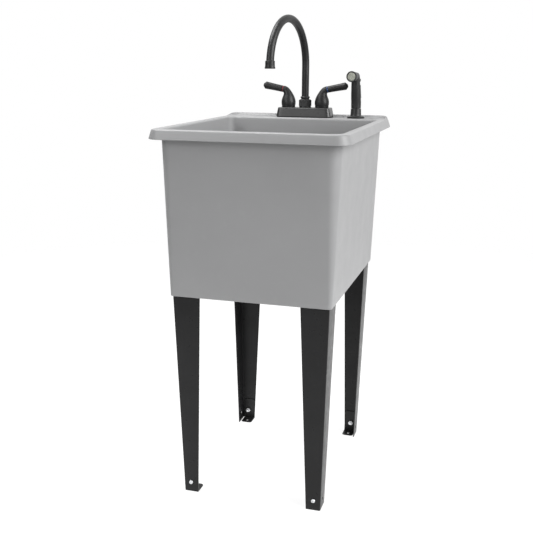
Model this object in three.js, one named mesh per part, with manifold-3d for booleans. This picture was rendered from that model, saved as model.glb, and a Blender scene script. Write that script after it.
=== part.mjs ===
// Utility laundry sink: a moulded tub on four tapered angle-section legs, with a two-handle
// gooseneck tap and a pull-out side spray on its rear deck.
// Millimetres, +Z up, +X to the user's right; the user stands at -Y.
// Origin: on the floor, under the centre of the tub.
import * as THREE from 'three';
import { mergeVertices } from 'three/addons/utils/BufferGeometryUtils.js';
import Module from 'manifold-3d';

const wasm = await Module();
wasm.setup();

// ---------- driving dimensions ----------

const fitGap = 0.35;            // clearance between pieces that touch
const quarterTurn = Math.PI / 2;

// tub
const rimHeight = 857;
const skirtBottom = 486;
const wallTopHeight = 829;
const footHalf = { x: 185, y: 244.5 };     // outer half sizes of the wall at skirtBottom
const topHalf = { x: 198, y: 257.5 };      // and at wallTopHeight
const wall = 4;
const cornerRadius = { top: 26, foot: 9 };
const rimOverhang = 23.3;
const rimLowerEdge = 835.7;
const rimCornerRadius = 33;
const bowlBack = { top: 200, bottom: 190 };  // y of the bowl's rear wall, inside
const floorEdge = 521;          // bowl floor where it meets the walls
const floorCentre = 517;        // bowl floor round the drain
const underFloor = 513;         // underside of the floor over the legs
const drain = { x: 0, y: -25, holeRadius: 24.5 };
const tailpieceEnd = 428;
const lipHeight = 6.3;          // splash lip round the back of the deck
const lipWidth = 8;
const rampStart = 226;          // y where the lip begins to rise
const rampEnd = 270;

// legs and feet
const legTop = 512;
const sheet = 2;                // leg and bracket steel
const legCorner = { top: { x: 179.7, y: 239.2 }, foot: { x: 165.4, y: 224.1 } };
const frontFlange = { top: 64.3, foot: 33.8 };
const sideFlange = { top: 66, foot: 42.6 };
const footBolt = { x: 149, z: 24, radius: 3 };
const sideHole = { y: 203, z: 21, radius: 4 };
const bracket = { inner: 131.5, outer: 160.5, height: 57, reach: 38, cornerRadius: 6 };

// tap
const deckY = 236.5;              // centre line of the tap holes
const handleX = 44.5;           // half the spacing of the two handles
const deckHoleRadius = 14;
const shankRadius = 10;
const coverBottom = 859.2;
const coverTop = 881.5;
const spoutYaw = THREE.MathUtils.degToRad(8);   // spout at rest points a little to the left
const spoutRadius = 9.3;
const spoutBore = 7;
const socketBore = 11.05;         // room for the O-ring round the spout's foot
const gooseneckRadius = 111;
const gooseneckCentre = 987.45;
const spoutFoot = 872;
const leverRise = THREE.MathUtils.degToRad(10.9);
const leverRoot = { x: 13.7, z: 927.7 };        // end of the handle's neck, in the handle's own frame
const indexGap = 3;             // between neck and lever, for the coloured ring

// side spray
const sprayX = 134;
const sprayYaw = THREE.MathUtils.degToRad(7.5);
const sprayHeadZ = 961.5;
const sprayHeadReach = 38;
const plungerZ = 930;
const sprayLean = 0.0863;                      // forward lean of the grip over its foot
const triggerPivot = { y: 5.3, z: 952 };        // in the spray's own frame

// ---------- finishes ----------

const finish = (color, roughness, metalness) => new THREE.MeshStandardMaterial({ color, roughness, metalness });
const finishes = {
  tub: () => finish(0x9b9c9e, 0.55, 0),
  blackSteel: () => finish(0x2c2d2f, 0.6, 0.3),
  zinc: () => finish(0xd9d9da, 0.3, 1),
  blackMetal: () => finish(0x343537, 0.42, 0.4),
  blackPlastic: () => finish(0x3a3b3c, 0.5, 0),
  rubber: () => finish(0x1b1b1c, 0.85, 0),
  brass: () => finish(0xb08d4a, 0.4, 1),
  steel: () => finish(0xb9bbbd, 0.3, 1),
  whitePlastic: () => finish(0xe6e6e2, 0.5, 0),
  sprayFace: () => finish(0xcbcdc1, 0.5, 0),
  red: () => finish(0xb3202c, 0.4, 0),
  blue: () => finish(0x2559b0, 0.4, 0),
};

// ---------- geometry helpers ----------

const lerp = THREE.MathUtils.lerp;

// A closed three.js geometry as a solid, whichever way its faces point.
function solid(geometry) {
  const bare = geometry.clone();
  bare.deleteAttribute('normal');
  bare.deleteAttribute('uv');
  const merged = mergeVertices(bare, 1e-4);
  const position = merged.attributes.position.array;
  const corner = (i) => new THREE.Vector3().fromArray(position, 3 * i);
  const faces = [];
  let volume = 0;
  for (let i = 0; i < merged.index.count; i += 3) {
    const [a, b, c] = [0, 1, 2].map((k) => merged.index.getX(i + k));
    if (a === b || b === c || c === a) continue;
    faces.push([a, b, c]);
    volume += corner(a).dot(corner(b).cross(corner(c)));
  }
  const outward = volume > 0 ? faces : faces.map((face) => face.reverse());
  const mesh = { numProp: 3, vertProperties: position, triVerts: new Uint32Array(outward.flat()) };
  return new wasm.Manifold(new wasm.Mesh(mesh));
}

function geometryOf(body) {
  const mesh = body.getMesh();
  const geometry = new THREE.BufferGeometry();
  geometry.setAttribute('position', new THREE.BufferAttribute(mesh.vertProperties, 3));
  geometry.setIndex(new THREE.BufferAttribute(mesh.triVerts, 1));
  geometry.computeVertexNormals();
  return geometry;
}

// Closed skin through rings of points, one after another, with flat fans over both ends.
function loft(rings) {
  const count = rings[0].length;
  const points = rings.flat();
  const centres = [rings[0], rings.at(-1)].map((ring) => (
    ring.reduce((sum, p) => sum.add(p), new THREE.Vector3()).divideScalar(count)));
  const first = points.length;
  const last = first + 1;
  const lastRing = (rings.length - 1) * count;
  const index = [];
  for (let j = 0; j < count; j += 1) {
    const next = (j + 1) % count;
    for (let i = 0; i < rings.length - 1; i += 1) {
      const low = i * count;
      const high = low + count;
      index.push(low + j, low + next, high + next, low + j, high + next, high + j);
    }
    index.push(first, next, j, last, lastRing + j, lastRing + next);
  }
  const geometry = new THREE.BufferGeometry().setFromPoints([...points, ...centres]);
  geometry.setIndex(index);
  return solid(geometry);
}

// Horizontal rectangle with rounded corners, counter-clockwise from above.
function roundedRing({ x, front, back, radius, z, steps = 4 }) {
  const side = x - radius;
  const corners = [
    [side, back - radius], [-side, back - radius], [-side, front + radius], [side, front + radius],
  ];
  return corners.flatMap(([cx, cy], k) => Array.from({ length: steps + 1 }, (_, i) => {
    const angle = quarterTurn * (k + i / steps);
    return new THREE.Vector3(cx + radius * Math.cos(angle), cy + radius * Math.sin(angle), z);
  }));
}

// Round ring of points about a centre, tipped about the Y axis by lean.
function roundRing({ x, y = 0, z, radius, lean = 0, sides = 16 }) {
  return Array.from({ length: sides }, (_, i) => {
    const angle = 2 * Math.PI * i / sides;
    const point = new THREE.Vector3(radius * Math.cos(angle), radius * Math.sin(angle), 0);
    return point.applyAxisAngle(new THREE.Vector3(0, 1, 0), lean).add(new THREE.Vector3(x, y, z));
  });
}

// Turned piece about Z from [radius, height] points.
function turned(profile, sides = 16) {
  const points = profile.map(([r, z]) => new THREE.Vector2(r, z));
  return solid(new THREE.LatheGeometry(points, sides).rotateX(quarterTurn));
}

const tube = (outer, inner, z0, z1, sides = 16) => turned(
  [[inner, z0], [outer, z0], [outer, z1], [inner, z1], [inner, z0]], sides);

const rod = (radius, z0, z1, sides = 16) => turned([[0, z0], [radius, z0], [radius, z1], [0, z1]], sides);

const box = (x0, x1, y0, y1, z0, z1) => solid(
  new THREE.BoxGeometry(x1 - x0, y1 - y0, z1 - z0)
    .translate((x0 + x1) / 2, (y0 + y1) / 2, (z0 + z1) / 2));

// Nut about Z: a prism with its corners bevelled at both ends, less its round bores.
function nutBody({ sides, radius, z0, z1, bevel, bores, bevelSides = 24 }) {
  const bevels = turned([
    [0, z0], [radius - bevel, z0], [radius, z0 + bevel], [radius, z1 - bevel], [radius - bevel, z1], [0, z1],
  ], bevelSides);
  const holes = bores.map(([r, low, high]) => rod(r, low, high));
  return holes.reduce((nut, hole) => nut.subtract(hole), rod(radius, z0, z1, sides).intersect(bevels));
}

// Rod along Y from y0 to y1 at a given x and z.
const crossRod = (radius, x, z, y0, y1, sides = 14) => solid(
  new THREE.CylinderGeometry(radius, radius, y1 - y0, sides).translate(x, (y0 + y1) / 2, z));

// Rod along X from x0 to x1 at a given y and z.
const sideRod = (radius, y, z, x0, x1, sides = 14) => solid(
  new THREE.CylinderGeometry(radius, radius, x1 - x0, sides)
    .rotateZ(quarterTurn).translate((x0 + x1) / 2, y, z));

// Straight-sided outline whose corners, each [x, y, radius], are rounded off.
function roundedOutline(corners) {
  const outline = new THREE.Shape();
  corners.forEach(([x, y, radius], i) => {
    const corner = new THREE.Vector2(x, y);
    const towards = ([nx, ny]) => new THREE.Vector2(nx, ny).sub(corner).setLength(radius).add(corner);
    const entry = towards(corners.at(i - 1));
    const exit = towards(corners[(i + 1) % corners.length]);
    if (i === 0) outline.moveTo(entry.x, entry.y);
    else outline.lineTo(entry.x, entry.y);
    if (radius > 0) outline.quadraticCurveTo(x, y, exit.x, exit.y);
  });
  return outline;
}

function addPiece(parent, name, body, material, position = [0, 0, 0]) {
  const mesh = new THREE.Mesh(geometryOf(body), material());
  mesh.name = name;
  mesh.position.set(...position);
  parent.add(mesh);
  return mesh;
}

// ---------- tub ----------

const wallShare = (z) => (z - skirtBottom) / (wallTopHeight - skirtBottom);
const wallHalf = (z) => ({
  x: lerp(footHalf.x, topHalf.x, wallShare(z)),
  y: lerp(footHalf.y, topHalf.y, wallShare(z)),
});
const cornerRadiusAt = (z) => lerp(cornerRadius.foot, cornerRadius.top, wallShare(z));
const bowlBackAt = (z) => lerp(bowlBack.bottom, bowlBack.top, (z - floorEdge) / (rimHeight - floorEdge));

function wallRing(z, inset = 0) {
  const half = wallHalf(z);
  const radius = Math.max(cornerRadiusAt(z) - inset, 3);
  return roundedRing({ x: half.x - inset, front: inset - half.y, back: half.y - inset, radius, z });
}

function rimRing(z, inset) {
  return roundedRing({
    x: topHalf.x + rimOverhang - inset,
    front: inset - topHalf.y - rimOverhang,
    back: topHalf.y + rimOverhang - inset,
    radius: rimCornerRadius - inset,
    z,
  });
}

function bowlRing(z, inset, radius) {
  const half = wallHalf(z);
  return roundedRing({
    x: half.x - wall - inset, front: wall + inset - half.y, back: bowlBackAt(z) - inset, radius, z,
  });
}

const drainRing = (radius, z) => roundedRing({
  x: radius, front: drain.y - radius, back: drain.y + radius, radius, z,
});

// Rolled rim: a hanging flange all round, open underneath.
function rimBody() {
  const outside = loft([
    rimRing(rimLowerEdge, 0), rimRing(838, 0.6), rimRing(851, 4.6),
    rimRing(854.8, 6.8), rimRing(856.5, 10), rimRing(rimHeight, 15),
  ]);
  const groove = loft([rimRing(829, wall - 1), rimRing(838, wall + 0.4), rimRing(851.5, wall + 5)]);
  return outside.subtract(groove.subtract(loft([wallRing(820), wallRing(rimHeight)])));
}

// Low lip along the back of the deck, which ramps down round both rear corners.
function splashLip() {
  const top = rimHeight + lipHeight;
  const outside = loft([
    rimRing(rimHeight - 3, 8), rimRing(top - 2, 8.6), rimRing(top - 0.6, 9.6), rimRing(top, 11.4),
  ]);
  const inside = loft([rimRing(rimHeight - 4, 8 + lipWidth), rimRing(top + 1, 8.6 + lipWidth)]);
  const slope = Math.atan2(lipHeight, rampEnd - rampStart);
  const above = new THREE.BoxGeometry(500, 700, 60).translate(0, 0, 30).rotateX(slope)
    .translate(0, rampStart, rimHeight - 0.4);
  return outside.subtract(inside).subtract(solid(above));
}

function bowlCavity() {
  return loft([
    drainRing(40, floorCentre - 1.6), drainRing(40, floorCentre), drainRing(62, floorCentre + 0.3),
    bowlRing(floorEdge, 26, 10), bowlRing(floorEdge + 3.5, 11, 12), bowlRing(floorEdge + 11, 3, 13),
    bowlRing(floorEdge + 24, 0, 14), bowlRing(845, 0, 22), bowlRing(850, -1, 23),
    bowlRing(854.6, -4, 26), bowlRing(rimHeight, -8.5, 30), bowlRing(rimHeight + 1, -9, 30),
  ]);
}

// Space inside the skirt, under the floor.
function skirtCavity() {
  return loft([
    wallRing(skirtBottom - 4, wall), wallRing(underFloor, wall), wallRing(underFloor + 2, wall + 22),
    drainRing(70, floorCentre - 5.5), drainRing(44, floorCentre - 5.6),
  ]);
}

// Space behind the bowl, where the tap is fastened from below, and the window into it.
function rearCavity() {
  const section = (z, front) => {
    const half = wallHalf(z);
    return roundedRing({ x: half.x - wall, front, back: half.y - wall, radius: 12, z });
  };
  const space = loft([
    section(underFloor + 6, bowlBackAt(underFloor) + wall), section(840, bowlBackAt(840) + wall), section(852, 212),
  ]);
  const window = new THREE.Shape(roundedRing({
    x: 162, front: 548, back: 822, radius: 22, z: 0,
  }).map((p) => new THREE.Vector2(p.x, p.y)));
  const cutter = new THREE.ExtrudeGeometry(window, { depth: 60, bevelEnabled: false })
    .rotateX(quarterTurn).translate(0, 290, 0);
  return space.add(solid(cutter));
}

// Ribs under the floor that hold the top of one leg against the skirt.
function legPocket(sx, sy) {
  const inner = { x: legCorner.top.x - sheet - 1.6, y: legCorner.top.y - sheet - 1.6 };
  const rib = 3;
  const [low, high] = [skirtBottom + 4, underFloor + 3];
  const along = box(inner.x - 60, inner.x, inner.y - rib, inner.y, low, high);
  const across = box(inner.x - rib, inner.x, inner.y - 62, inner.y, low, high);
  return along.add(across).scale([sx, sy, 1]);
}

function tubBody() {
  let tub = loft([wallRing(skirtBottom), wallRing(wallTopHeight), wallRing(rimHeight - 3)])
    .add(rimBody())
    .add(splashLip())
    .subtract(bowlCavity())
    .subtract(skirtCavity())
    .subtract(rearCavity())
    .subtract(rod(drain.holeRadius, 490, 530, 24).translate([drain.x, drain.y, 0]));
  for (const [sx, sy] of [[-1, -1], [1, -1], [-1, 1], [1, 1]]) {
    tub = tub.add(legPocket(sx, sy));
  }
  for (const x of [-handleX, 0, handleX, sprayX]) {
    const radius = x === 0 ? shankRadius : deckHoleRadius;
    tub = tub.subtract(rod(radius, 840, 870, 20).translate([x, deckY, 0]));
  }
  return tub;
}

// ---------- legs and feet ----------

const legShare = (z) => z / skirtBottom;
const legCornerAt = (z) => ({
  x: lerp(legCorner.foot.x, legCorner.top.x, legShare(z)),
  y: lerp(legCorner.foot.y, legCorner.top.y, legShare(z)),
});
const legLean = Math.atan2(legCorner.top.y - legCorner.foot.y, skirtBottom);

// Leg of the corner with positive x and y; the others are mirrored from it.
function legBody() {
  const rings = (points) => [0, legTop].map((z) => points(legCornerAt(z), legShare(z))
    .map(([x, y]) => new THREE.Vector3(x, y, z)));
  const front = loft(rings((c, t) => {
    const end = c.x - lerp(frontFlange.foot, frontFlange.top, t);
    const arc = [[c.x, c.y - sheet], [c.x - 0.3 * sheet, c.y - 0.3 * sheet], [c.x - sheet, c.y]];
    return [[end, c.y - sheet], ...arc, [end, c.y]];
  }));
  const side = loft(rings((c, t) => {
    const end = c.y - lerp(sideFlange.foot, sideFlange.top, t);
    return [[c.x - sheet, end], [c.x, end], [c.x, c.y - sheet], [c.x - sheet, c.y - sheet / 2]];
  }));
  return front.add(side)
    .subtract(crossRod(footBolt.radius + 0.5, footBolt.x, footBolt.z, 215, 235))
    .subtract(sideRod(sideHole.radius, sideHole.y, sideHole.z, 155, 175));
}

// Bent foot plate: its upright lies inside the front flange, its sole on the floor.
function footBracketBody() {
  const { inner, outer, height, reach, cornerRadius: radius } = bracket;
  const back = legCorner.foot.y - sheet - fitGap;
  const plate = (corners) => new THREE.ExtrudeGeometry(roundedOutline(corners), {
    depth: sheet, bevelEnabled: false, curveSegments: 3,
  });
  const upright = plate([[inner, 0, 0], [outer, 0, 0], [outer, height, radius], [inner, height, radius]])
    .rotateX(quarterTurn - legLean).translate(0, back, 0);
  const sole = plate([
    [inner, back - reach, radius], [outer, back - reach, radius], [outer, back - 0.4, 0], [inner, back - 0.4, 0],
  ]);
  const anchorHole = rod(3.5, -5, 5).translate([(inner + outer) / 2, back - reach / 2 - 3, 0]);
  return solid(upright).add(solid(sole))
    .subtract(box(100, 200, 150, 250, -5, 0))
    .subtract(anchorHole)
    .subtract(crossRod(footBolt.radius + 0.5, footBolt.x, footBolt.z, 210, 235));
}

// Pan-head bolt with a cross recess, along -Y, with its head outside the flange at y = 0.
function footBoltBody() {
  const bolt = turned([
    [0, -15], [3, -15], [3, 0.3], [6, 0.3], [6, 1.6], [5.2, 3], [0, 4],
  ], 14);
  const slot = (a, b) => box(-a, a, -b, b, 2.4, 5);
  return bolt.subtract(slot(3, 0.7).add(slot(0.7, 3))).rotate([-90, 0, 0]);
}

const footNutBody = () => nutBody({
  sides: 6, radius: 6.4, z0: 0, z1: 5, bevel: 0.7, bevelSides: 12, bores: [[footBolt.radius + fitGap, -1, 6]],
}).rotate([90, 0, 0]);

function addLegs(sink) {
  const corners = { front_left: [-1, -1], front_right: [1, -1], rear_left: [-1, 1], rear_right: [1, 1] };
  const leg = legBody();
  const footBracket = footBracketBody();
  const flangeY = lerp(legCorner.foot.y, legCorner.top.y, legShare(footBolt.z));
  const plates = 2 * (sheet + fitGap);
  const bolt = footBoltBody().rotate([THREE.MathUtils.radToDeg(-legLean), 0, 0])
    .translate([footBolt.x, flangeY, footBolt.z]);
  const nut = footNutBody().translate([0, -plates, 0]).rotate([THREE.MathUtils.radToDeg(-legLean), 0, 0])
    .translate([footBolt.x, flangeY, footBolt.z]);
  for (const [corner, [sx, sy]] of Object.entries(corners)) {
    const mirrored = (body) => body.scale([sx, sy, 1]);
    addPiece(sink, `leg_${corner}`, mirrored(leg), finishes.blackSteel);
    addPiece(sink, `foot_bracket_${corner}`, mirrored(footBracket), finishes.blackSteel);
    addPiece(sink, `foot_bolt_${corner}`, mirrored(bolt), finishes.zinc);
    addPiece(sink, `foot_nut_${corner}`, mirrored(nut), finishes.zinc);
  }
}

// ---------- drain ----------

function addDrain(sink) {
  const outlet = new THREE.Group();
  outlet.position.set(drain.x, drain.y, 0);
  sink.add(outlet);

  const seat = floorCentre - 1.6 + fitGap;         // flange face on the bowl floor
  const under = floorCentre - 5.9 - fitGap;        // gasket face under the floor
  const bodyEnd = floorCentre - 47;
  addPiece(outlet, 'drain_body', turned([
    [18, bodyEnd], [23.6, bodyEnd], [23.6, seat], [38, seat], [38, seat + 1.4], [36, seat + 2.2],
    [23, seat + 1.2], [21, seat - 4], [21, seat - 14], [18, seat - 16], [18, bodyEnd],
  ], 24), finishes.steel);
  addPiece(outlet, 'drain_gasket', tube(37, 24.2, under - 3, under, 24), finishes.rubber);

  let locknut = tube(31, 24.1, under - 13, under - 3 - fitGap, 24);
  for (let i = 0; i < 6; i += 1) {
    const lug = box(30, 36, -4, 4, under - 13, under - 3 - fitGap);
    locknut = locknut.add(lug.rotate([0, 0, 60 * i]));
  }
  addPiece(outlet, 'drain_locknut', locknut, finishes.whitePlastic);

  // Lift-out strainer cup with a ring of slots and a knob.
  let strainer = turned([
    [0, seat - 12], [19.5, seat - 12], [20.4, seat - 3], [21.6, seat + 2], [20.2, seat + 2.2],
    [18.4, seat - 9.6], [4, seat - 9.6], [3, seat - 4], [5.5, seat - 1], [5.5, seat + 1.4], [0, seat + 2.4],
  ], 24);
  for (let i = 0; i < 8; i += 1) {
    const slot = box(8, 15.5, -1.4, 1.4, seat - 14, seat - 8);
    strainer = strainer.subtract(slot.rotate([0, 0, 45 * i]));
  }
  addPiece(outlet, 'drain_strainer', strainer, finishes.steel);

  addPiece(outlet, 'tailpiece_washer', tube(22.8, 17.6, bodyEnd - 2.4, bodyEnd - fitGap), finishes.rubber);
  const flange = bodyEnd - 2.4 - fitGap;
  addPiece(outlet, 'tailpiece', turned([
    [17, tailpieceEnd], [19, tailpieceEnd], [19, flange - 2.5], [22.8, flange - 2.5], [22.8, flange],
    [17, flange], [17, tailpieceEnd],
  ], 24), finishes.whitePlastic);
  addPiece(outlet, 'tailpiece_nut', nutBody({
    sides: 8, radius: 28, z0: flange - 7, z1: flange + 14, bevel: 1.2,
    bores: [[19.5, flange - 8, flange], [24.2, flange - 2.9, flange + 15]],
  }), finishes.whitePlastic);
}

// ---------- tap ----------

const coverRing = (z, x, y, radius) => roundedRing({
  x, front: -y, back: y, radius, z, steps: 4,
});

// Hollow cover over the waterway, open underneath.
function coverBody() {
  const outside = loft([
    coverRing(coverBottom, 72.5, 27.5, 11), coverRing(coverTop - 1.6, 68.2, 24.8, 9),
    coverRing(coverTop - 0.4, 67.4, 24, 8.4), coverRing(coverTop, 66.2, 22.8, 7.5),
  ]);
  const inside = loft([
    coverRing(coverBottom - 1, 69.7, 24.7, 8), coverRing(coverTop - 3, 65.4, 21.8, 6),
  ]);
  let cover = outside.subtract(inside).subtract(rod(13.4, 870, 890));
  for (const sx of [-1, 1]) {
    cover = cover.subtract(rod(12.4, 870, 890).translate([sx * handleX, 0, 0]));
  }
  return cover;
}

// Waterway inside the cover: two valve bodies on threaded shanks, a cross tube between them,
// the spout's socket and the outlet for the spray's hose.
function waterwayBody() {
  const crossZ = 868;
  let body = sideRod(6.5, 0, crossZ, -handleX, handleX)
    .add(turned([[0, 861], [13, 861], [13, 880], [12.4, 880], [12.4, 896], [0, 896]]))
    .add(rod(6, 838, 862));
  for (const sx of [-1, 1]) {
    const valve = turned([[0, 812], [shankRadius, 812], [shankRadius, 861], [12, 861], [12, 884], [0, 884]]);
    body = body.add(valve.translate([sx * handleX, 0, 0]));
  }
  body = body.subtract(sideRod(3.2, 0, crossZ, -handleX, handleX))
    .subtract(rod(socketBore, spoutFoot - 0.5, 897))
    .subtract(rod(4, crossZ, 880))
    .subtract(rod(2.5, 830, crossZ));
  for (const sx of [-1, 1]) {
    const bore = rod(6, 805, crossZ + 1).add(rod(4.5, crossZ, 874)).add(rod(8.8, 873, 885));
    body = body.subtract(bore.translate([sx * handleX, 0, 0]));
  }
  return body;
}

// Wing nut that clamps one shank under the deck.
function mountingNutBody() {
  const bore = shankRadius + fitGap;
  let nut = tube(13.5, bore, 838, 848.2).add(tube(16.6, bore, 848, 851.4));
  for (const turn of [0, 90, 180, 270]) {
    nut = nut.add(box(12, 16.6, -1.8, 1.8, 838, 849).rotate([0, 0, turn]));
  }
  return nut;
}

// Handle: a round bell that draws in to a neck and bends over towards its lever.
// Built for the +X side with the valve axis at x = 0.
function handleBody() {
  const stations = [
    [0, 882, 16.9, 0], [0, 886, 17.7, 0], [0, 890, 18.3, 0], [0, 895, 18.5, 0], [0.1, 901, 17.7, 0],
    [0.6, 908, 15.3, 5], [1.9, 914.8, 12.2, 13], [4.1, 920.4, 10, 27], [7.1, 924.6, 9, 47],
    [10.6, 926.8, 8.6, 67], [leverRoot.x, leverRoot.z, 8.3, 90 - THREE.MathUtils.radToDeg(leverRise)],
  ];
  const shell = loft(stations.map(([x, z, radius, tip]) => (
    roundRing({ x, z, radius, lean: THREE.MathUtils.degToRad(tip) }))));
  const cavity = turned([
    [0, 880], [13, 880], [13, 893], [11.5, 897.5], [4, 897.5], [4, 907.5], [0, 907.5],
  ]);
  const axisTurn = [0, 90 - THREE.MathUtils.radToDeg(leverRise), 0];
  const spigotBore = rod(3.4, -9, 2, 16).rotate(axisTurn).translate([leverRoot.x, 0, leverRoot.z]);
  const screwBore = crossRod(2.2, 0, 902, 3, 20, 14);
  return shell.subtract(cavity).subtract(spigotBore).subtract(screwBore);
}

// Lever rod with a spigot at its root and a bevelled end; its axis runs along +Z here.
const leverBody = () => turned([
  [0, -7], [3, -7], [3, indexGap], [8.2, indexGap], [8.4, 16], [8.8, 32], [9.4, 46], [9.4, 49],
  [3.6, 54.6], [0, 55],
], 18);

function addHandle(tap, side, sx, ringFinish) {
  const frame = new THREE.Group();
  frame.position.set(sx * handleX, 0, 0);
  tap.add(frame);
  const mirrored = (body) => body.scale([sx, 1, 1]);
  const onAxis = (body) => body.rotate([0, 90 - THREE.MathUtils.radToDeg(leverRise), 0])
    .translate([leverRoot.x, 0, leverRoot.z]);

  addPiece(frame, `${side}_cartridge`, turned([
    [3.9, 874.5], [8.4, 874.5], [8.4, 884.4], [10.5, 884.4], [10.5, 885.8], [3.9, 885.8], [3.9, 874.5],
  ]), finishes.whitePlastic);
  addPiece(frame, `${side}_bonnet_nut`, nutBody({
    sides: 6, radius: 12.2, z0: 886.2, z1: 891, bevel: 0.8, bores: [[4.2, 885, 892]],
  }), finishes.brass);
  addPiece(frame, `${side}_stem`, rod(3.5, 875, 906.8), finishes.brass);
  addPiece(frame, `${side}_handle`, mirrored(handleBody()), finishes.blackMetal);
  addPiece(frame, `${side}_index_ring`, mirrored(onAxis(tube(8.3, 3.4, fitGap, indexGap - fitGap))), ringFinish);
  addPiece(frame, `${side}_lever`, mirrored(onAxis(leverBody())), finishes.blackMetal);
  const screw = rod(1.8, 0, 7.5, 12).subtract(turned([[0, 5.5], [0.9, 5.5], [0.9, 8], [0, 8]], 6));
  addPiece(frame, `${side}_set_screw`, screw.rotate([-90, 0, 0]).translate([0, 3.9, 902]), finishes.steel);
}

// Centre line of the spout: straight up from its foot, over a half circle, and down to its end.
class GooseneckCurve extends THREE.Curve {
  getPoint(t) {
    const rise = gooseneckCentre - spoutFoot;
    const along = t * (rise + Math.PI * gooseneckRadius);
    if (along <= rise) return new THREE.Vector3(0, 0, spoutFoot + along);
    const angle = (along - rise) / gooseneckRadius;
    const reach = gooseneckRadius * (1 - Math.cos(angle));
    return new THREE.Vector3(0, -reach, gooseneckCentre + gooseneckRadius * Math.sin(angle));
  }
}

function spoutBody() {
  const section = new THREE.Shape().absarc(0, 0, spoutRadius, 0, 2 * Math.PI);
  section.holes.push(new THREE.Path().absarc(0, 0, spoutBore, 0, 2 * Math.PI, true));
  return solid(new THREE.ExtrudeGeometry(section, {
    steps: 30, curveSegments: 6, extrudePath: new GooseneckCurve(),
  }));
}

function addSpout(tap) {
  const spout = new THREE.Group();
  spout.rotation.z = -spoutYaw;
  tap.add(spout);
  addPiece(spout, 'spout', spoutBody(), finishes.blackMetal);
  addPiece(spout, 'spout_o_ring', turned(
    roundRing({ x: 0, z: 0, radius: 0.55, sides: 6 }).map((p) => [10.2 + p.x, 878 + p.y]).concat([[10.75, 878]]),
  ), finishes.rubber);
  addPiece(spout, 'spout_collar', turned([
    [9.65, 903], [13, 903], [13, 905.4], [11.9, 906.2], [11.9, 909], [11.1, 909.8], [9.65, 909.8],
    [9.65, 903],
  ]), finishes.blackMetal);

  const mouth = [0, -2 * gooseneckRadius, gooseneckCentre - 988.5];
  addPiece(spout, 'aerator_housing', turned([
    [10.2, 981.8], [13.1, 981.8], [13.1, 984.4], [11.6, 990.5], [11.6, 999.2], [11.1, 1000],
    [10.35, 1000], [10.35, 990], [10.2, 988], [10.2, 981.8],
  ]), finishes.blackMetal, mouth);
  let screen = turned([[0, 983.6], [9.8, 983.6], [9.8, 987.6], [0, 987.6]]);
  for (let i = 0; i < 6; i += 1) {
    screen = screen.subtract(rod(1.3, 980, 990, 8).translate([5.4, 0, 0]).rotate([0, 0, 60 * i]));
  }
  addPiece(spout, 'aerator_screen', screen.subtract(rod(1.3, 980, 990, 8)), finishes.whitePlastic, mouth);
}

// Hexagon nut with chamfered corners that holds the spout down in its socket.
const spoutNutBody = () => nutBody({
  sides: 6, radius: 16.8, z0: 881.9, z1: 902.5, bevel: 1.8, bores: [[9.75, 881, 904], [12.8, 881, 898]],
});

function addTap(sink) {
  const tap = new THREE.Group();
  tap.position.y = deckY;
  sink.add(tap);
  addPiece(tap, 'tap_cover', coverBody(), finishes.blackPlastic);
  let gasket = loft([coverRing(rimHeight + 0.3, 71.5, 26.5, 10), coverRing(coverBottom - 0.3, 71.5, 26.5, 10)]);
  for (const x of [-handleX, 0, handleX]) {
    gasket = gasket.subtract(rod(x === 0 ? 8 : 12, 850, 870).translate([x, 0, 0]));
  }
  addPiece(tap, 'tap_gasket', gasket, finishes.rubber);
  addPiece(tap, 'tap_waterway', waterwayBody(), finishes.brass);
  addPiece(tap, 'tap_mounting_nut_hot', mountingNutBody(), finishes.whitePlastic, [-handleX, 0, 0]);
  addPiece(tap, 'tap_mounting_nut_cold', mountingNutBody(), finishes.whitePlastic, [handleX, 0, 0]);
  addHandle(tap, 'hot', -1, finishes.red);
  addHandle(tap, 'cold', 1, finishes.blue);
  addPiece(tap, 'spout_nut', spoutNutBody(), finishes.blackMetal);
  addSpout(tap);
}

// ---------- side spray ----------

// Flanged cup in the deck, with a threaded tail below it.
const holderBody = () => turned([
  [8.9, 826], [12, 826], [12, 859.6], [22.6, 859.6], [22.6, 860.6], [19, 861.8], [13.6, 863], [12.9, 866],
  [12.1, 881], [9.6, 881], [9.2, 878], [8.9, 826],
]);

// How far forward the grip has leant at a height: straight in the holder, then bent, then straight again.
function leanAt(z) {
  const bendStart = 882;
  const bendLength = 20;
  const above = Math.max(z - bendStart, 0);
  const bent = above < bendLength ? above ** 2 / (2 * bendLength) : above - bendLength / 2;
  return -sprayLean * bent;
}

const nozzleFrame = (body) => body.rotate([90, 0, 0]).translate([0, leanAt(sprayHeadZ), sprayHeadZ]);

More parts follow.
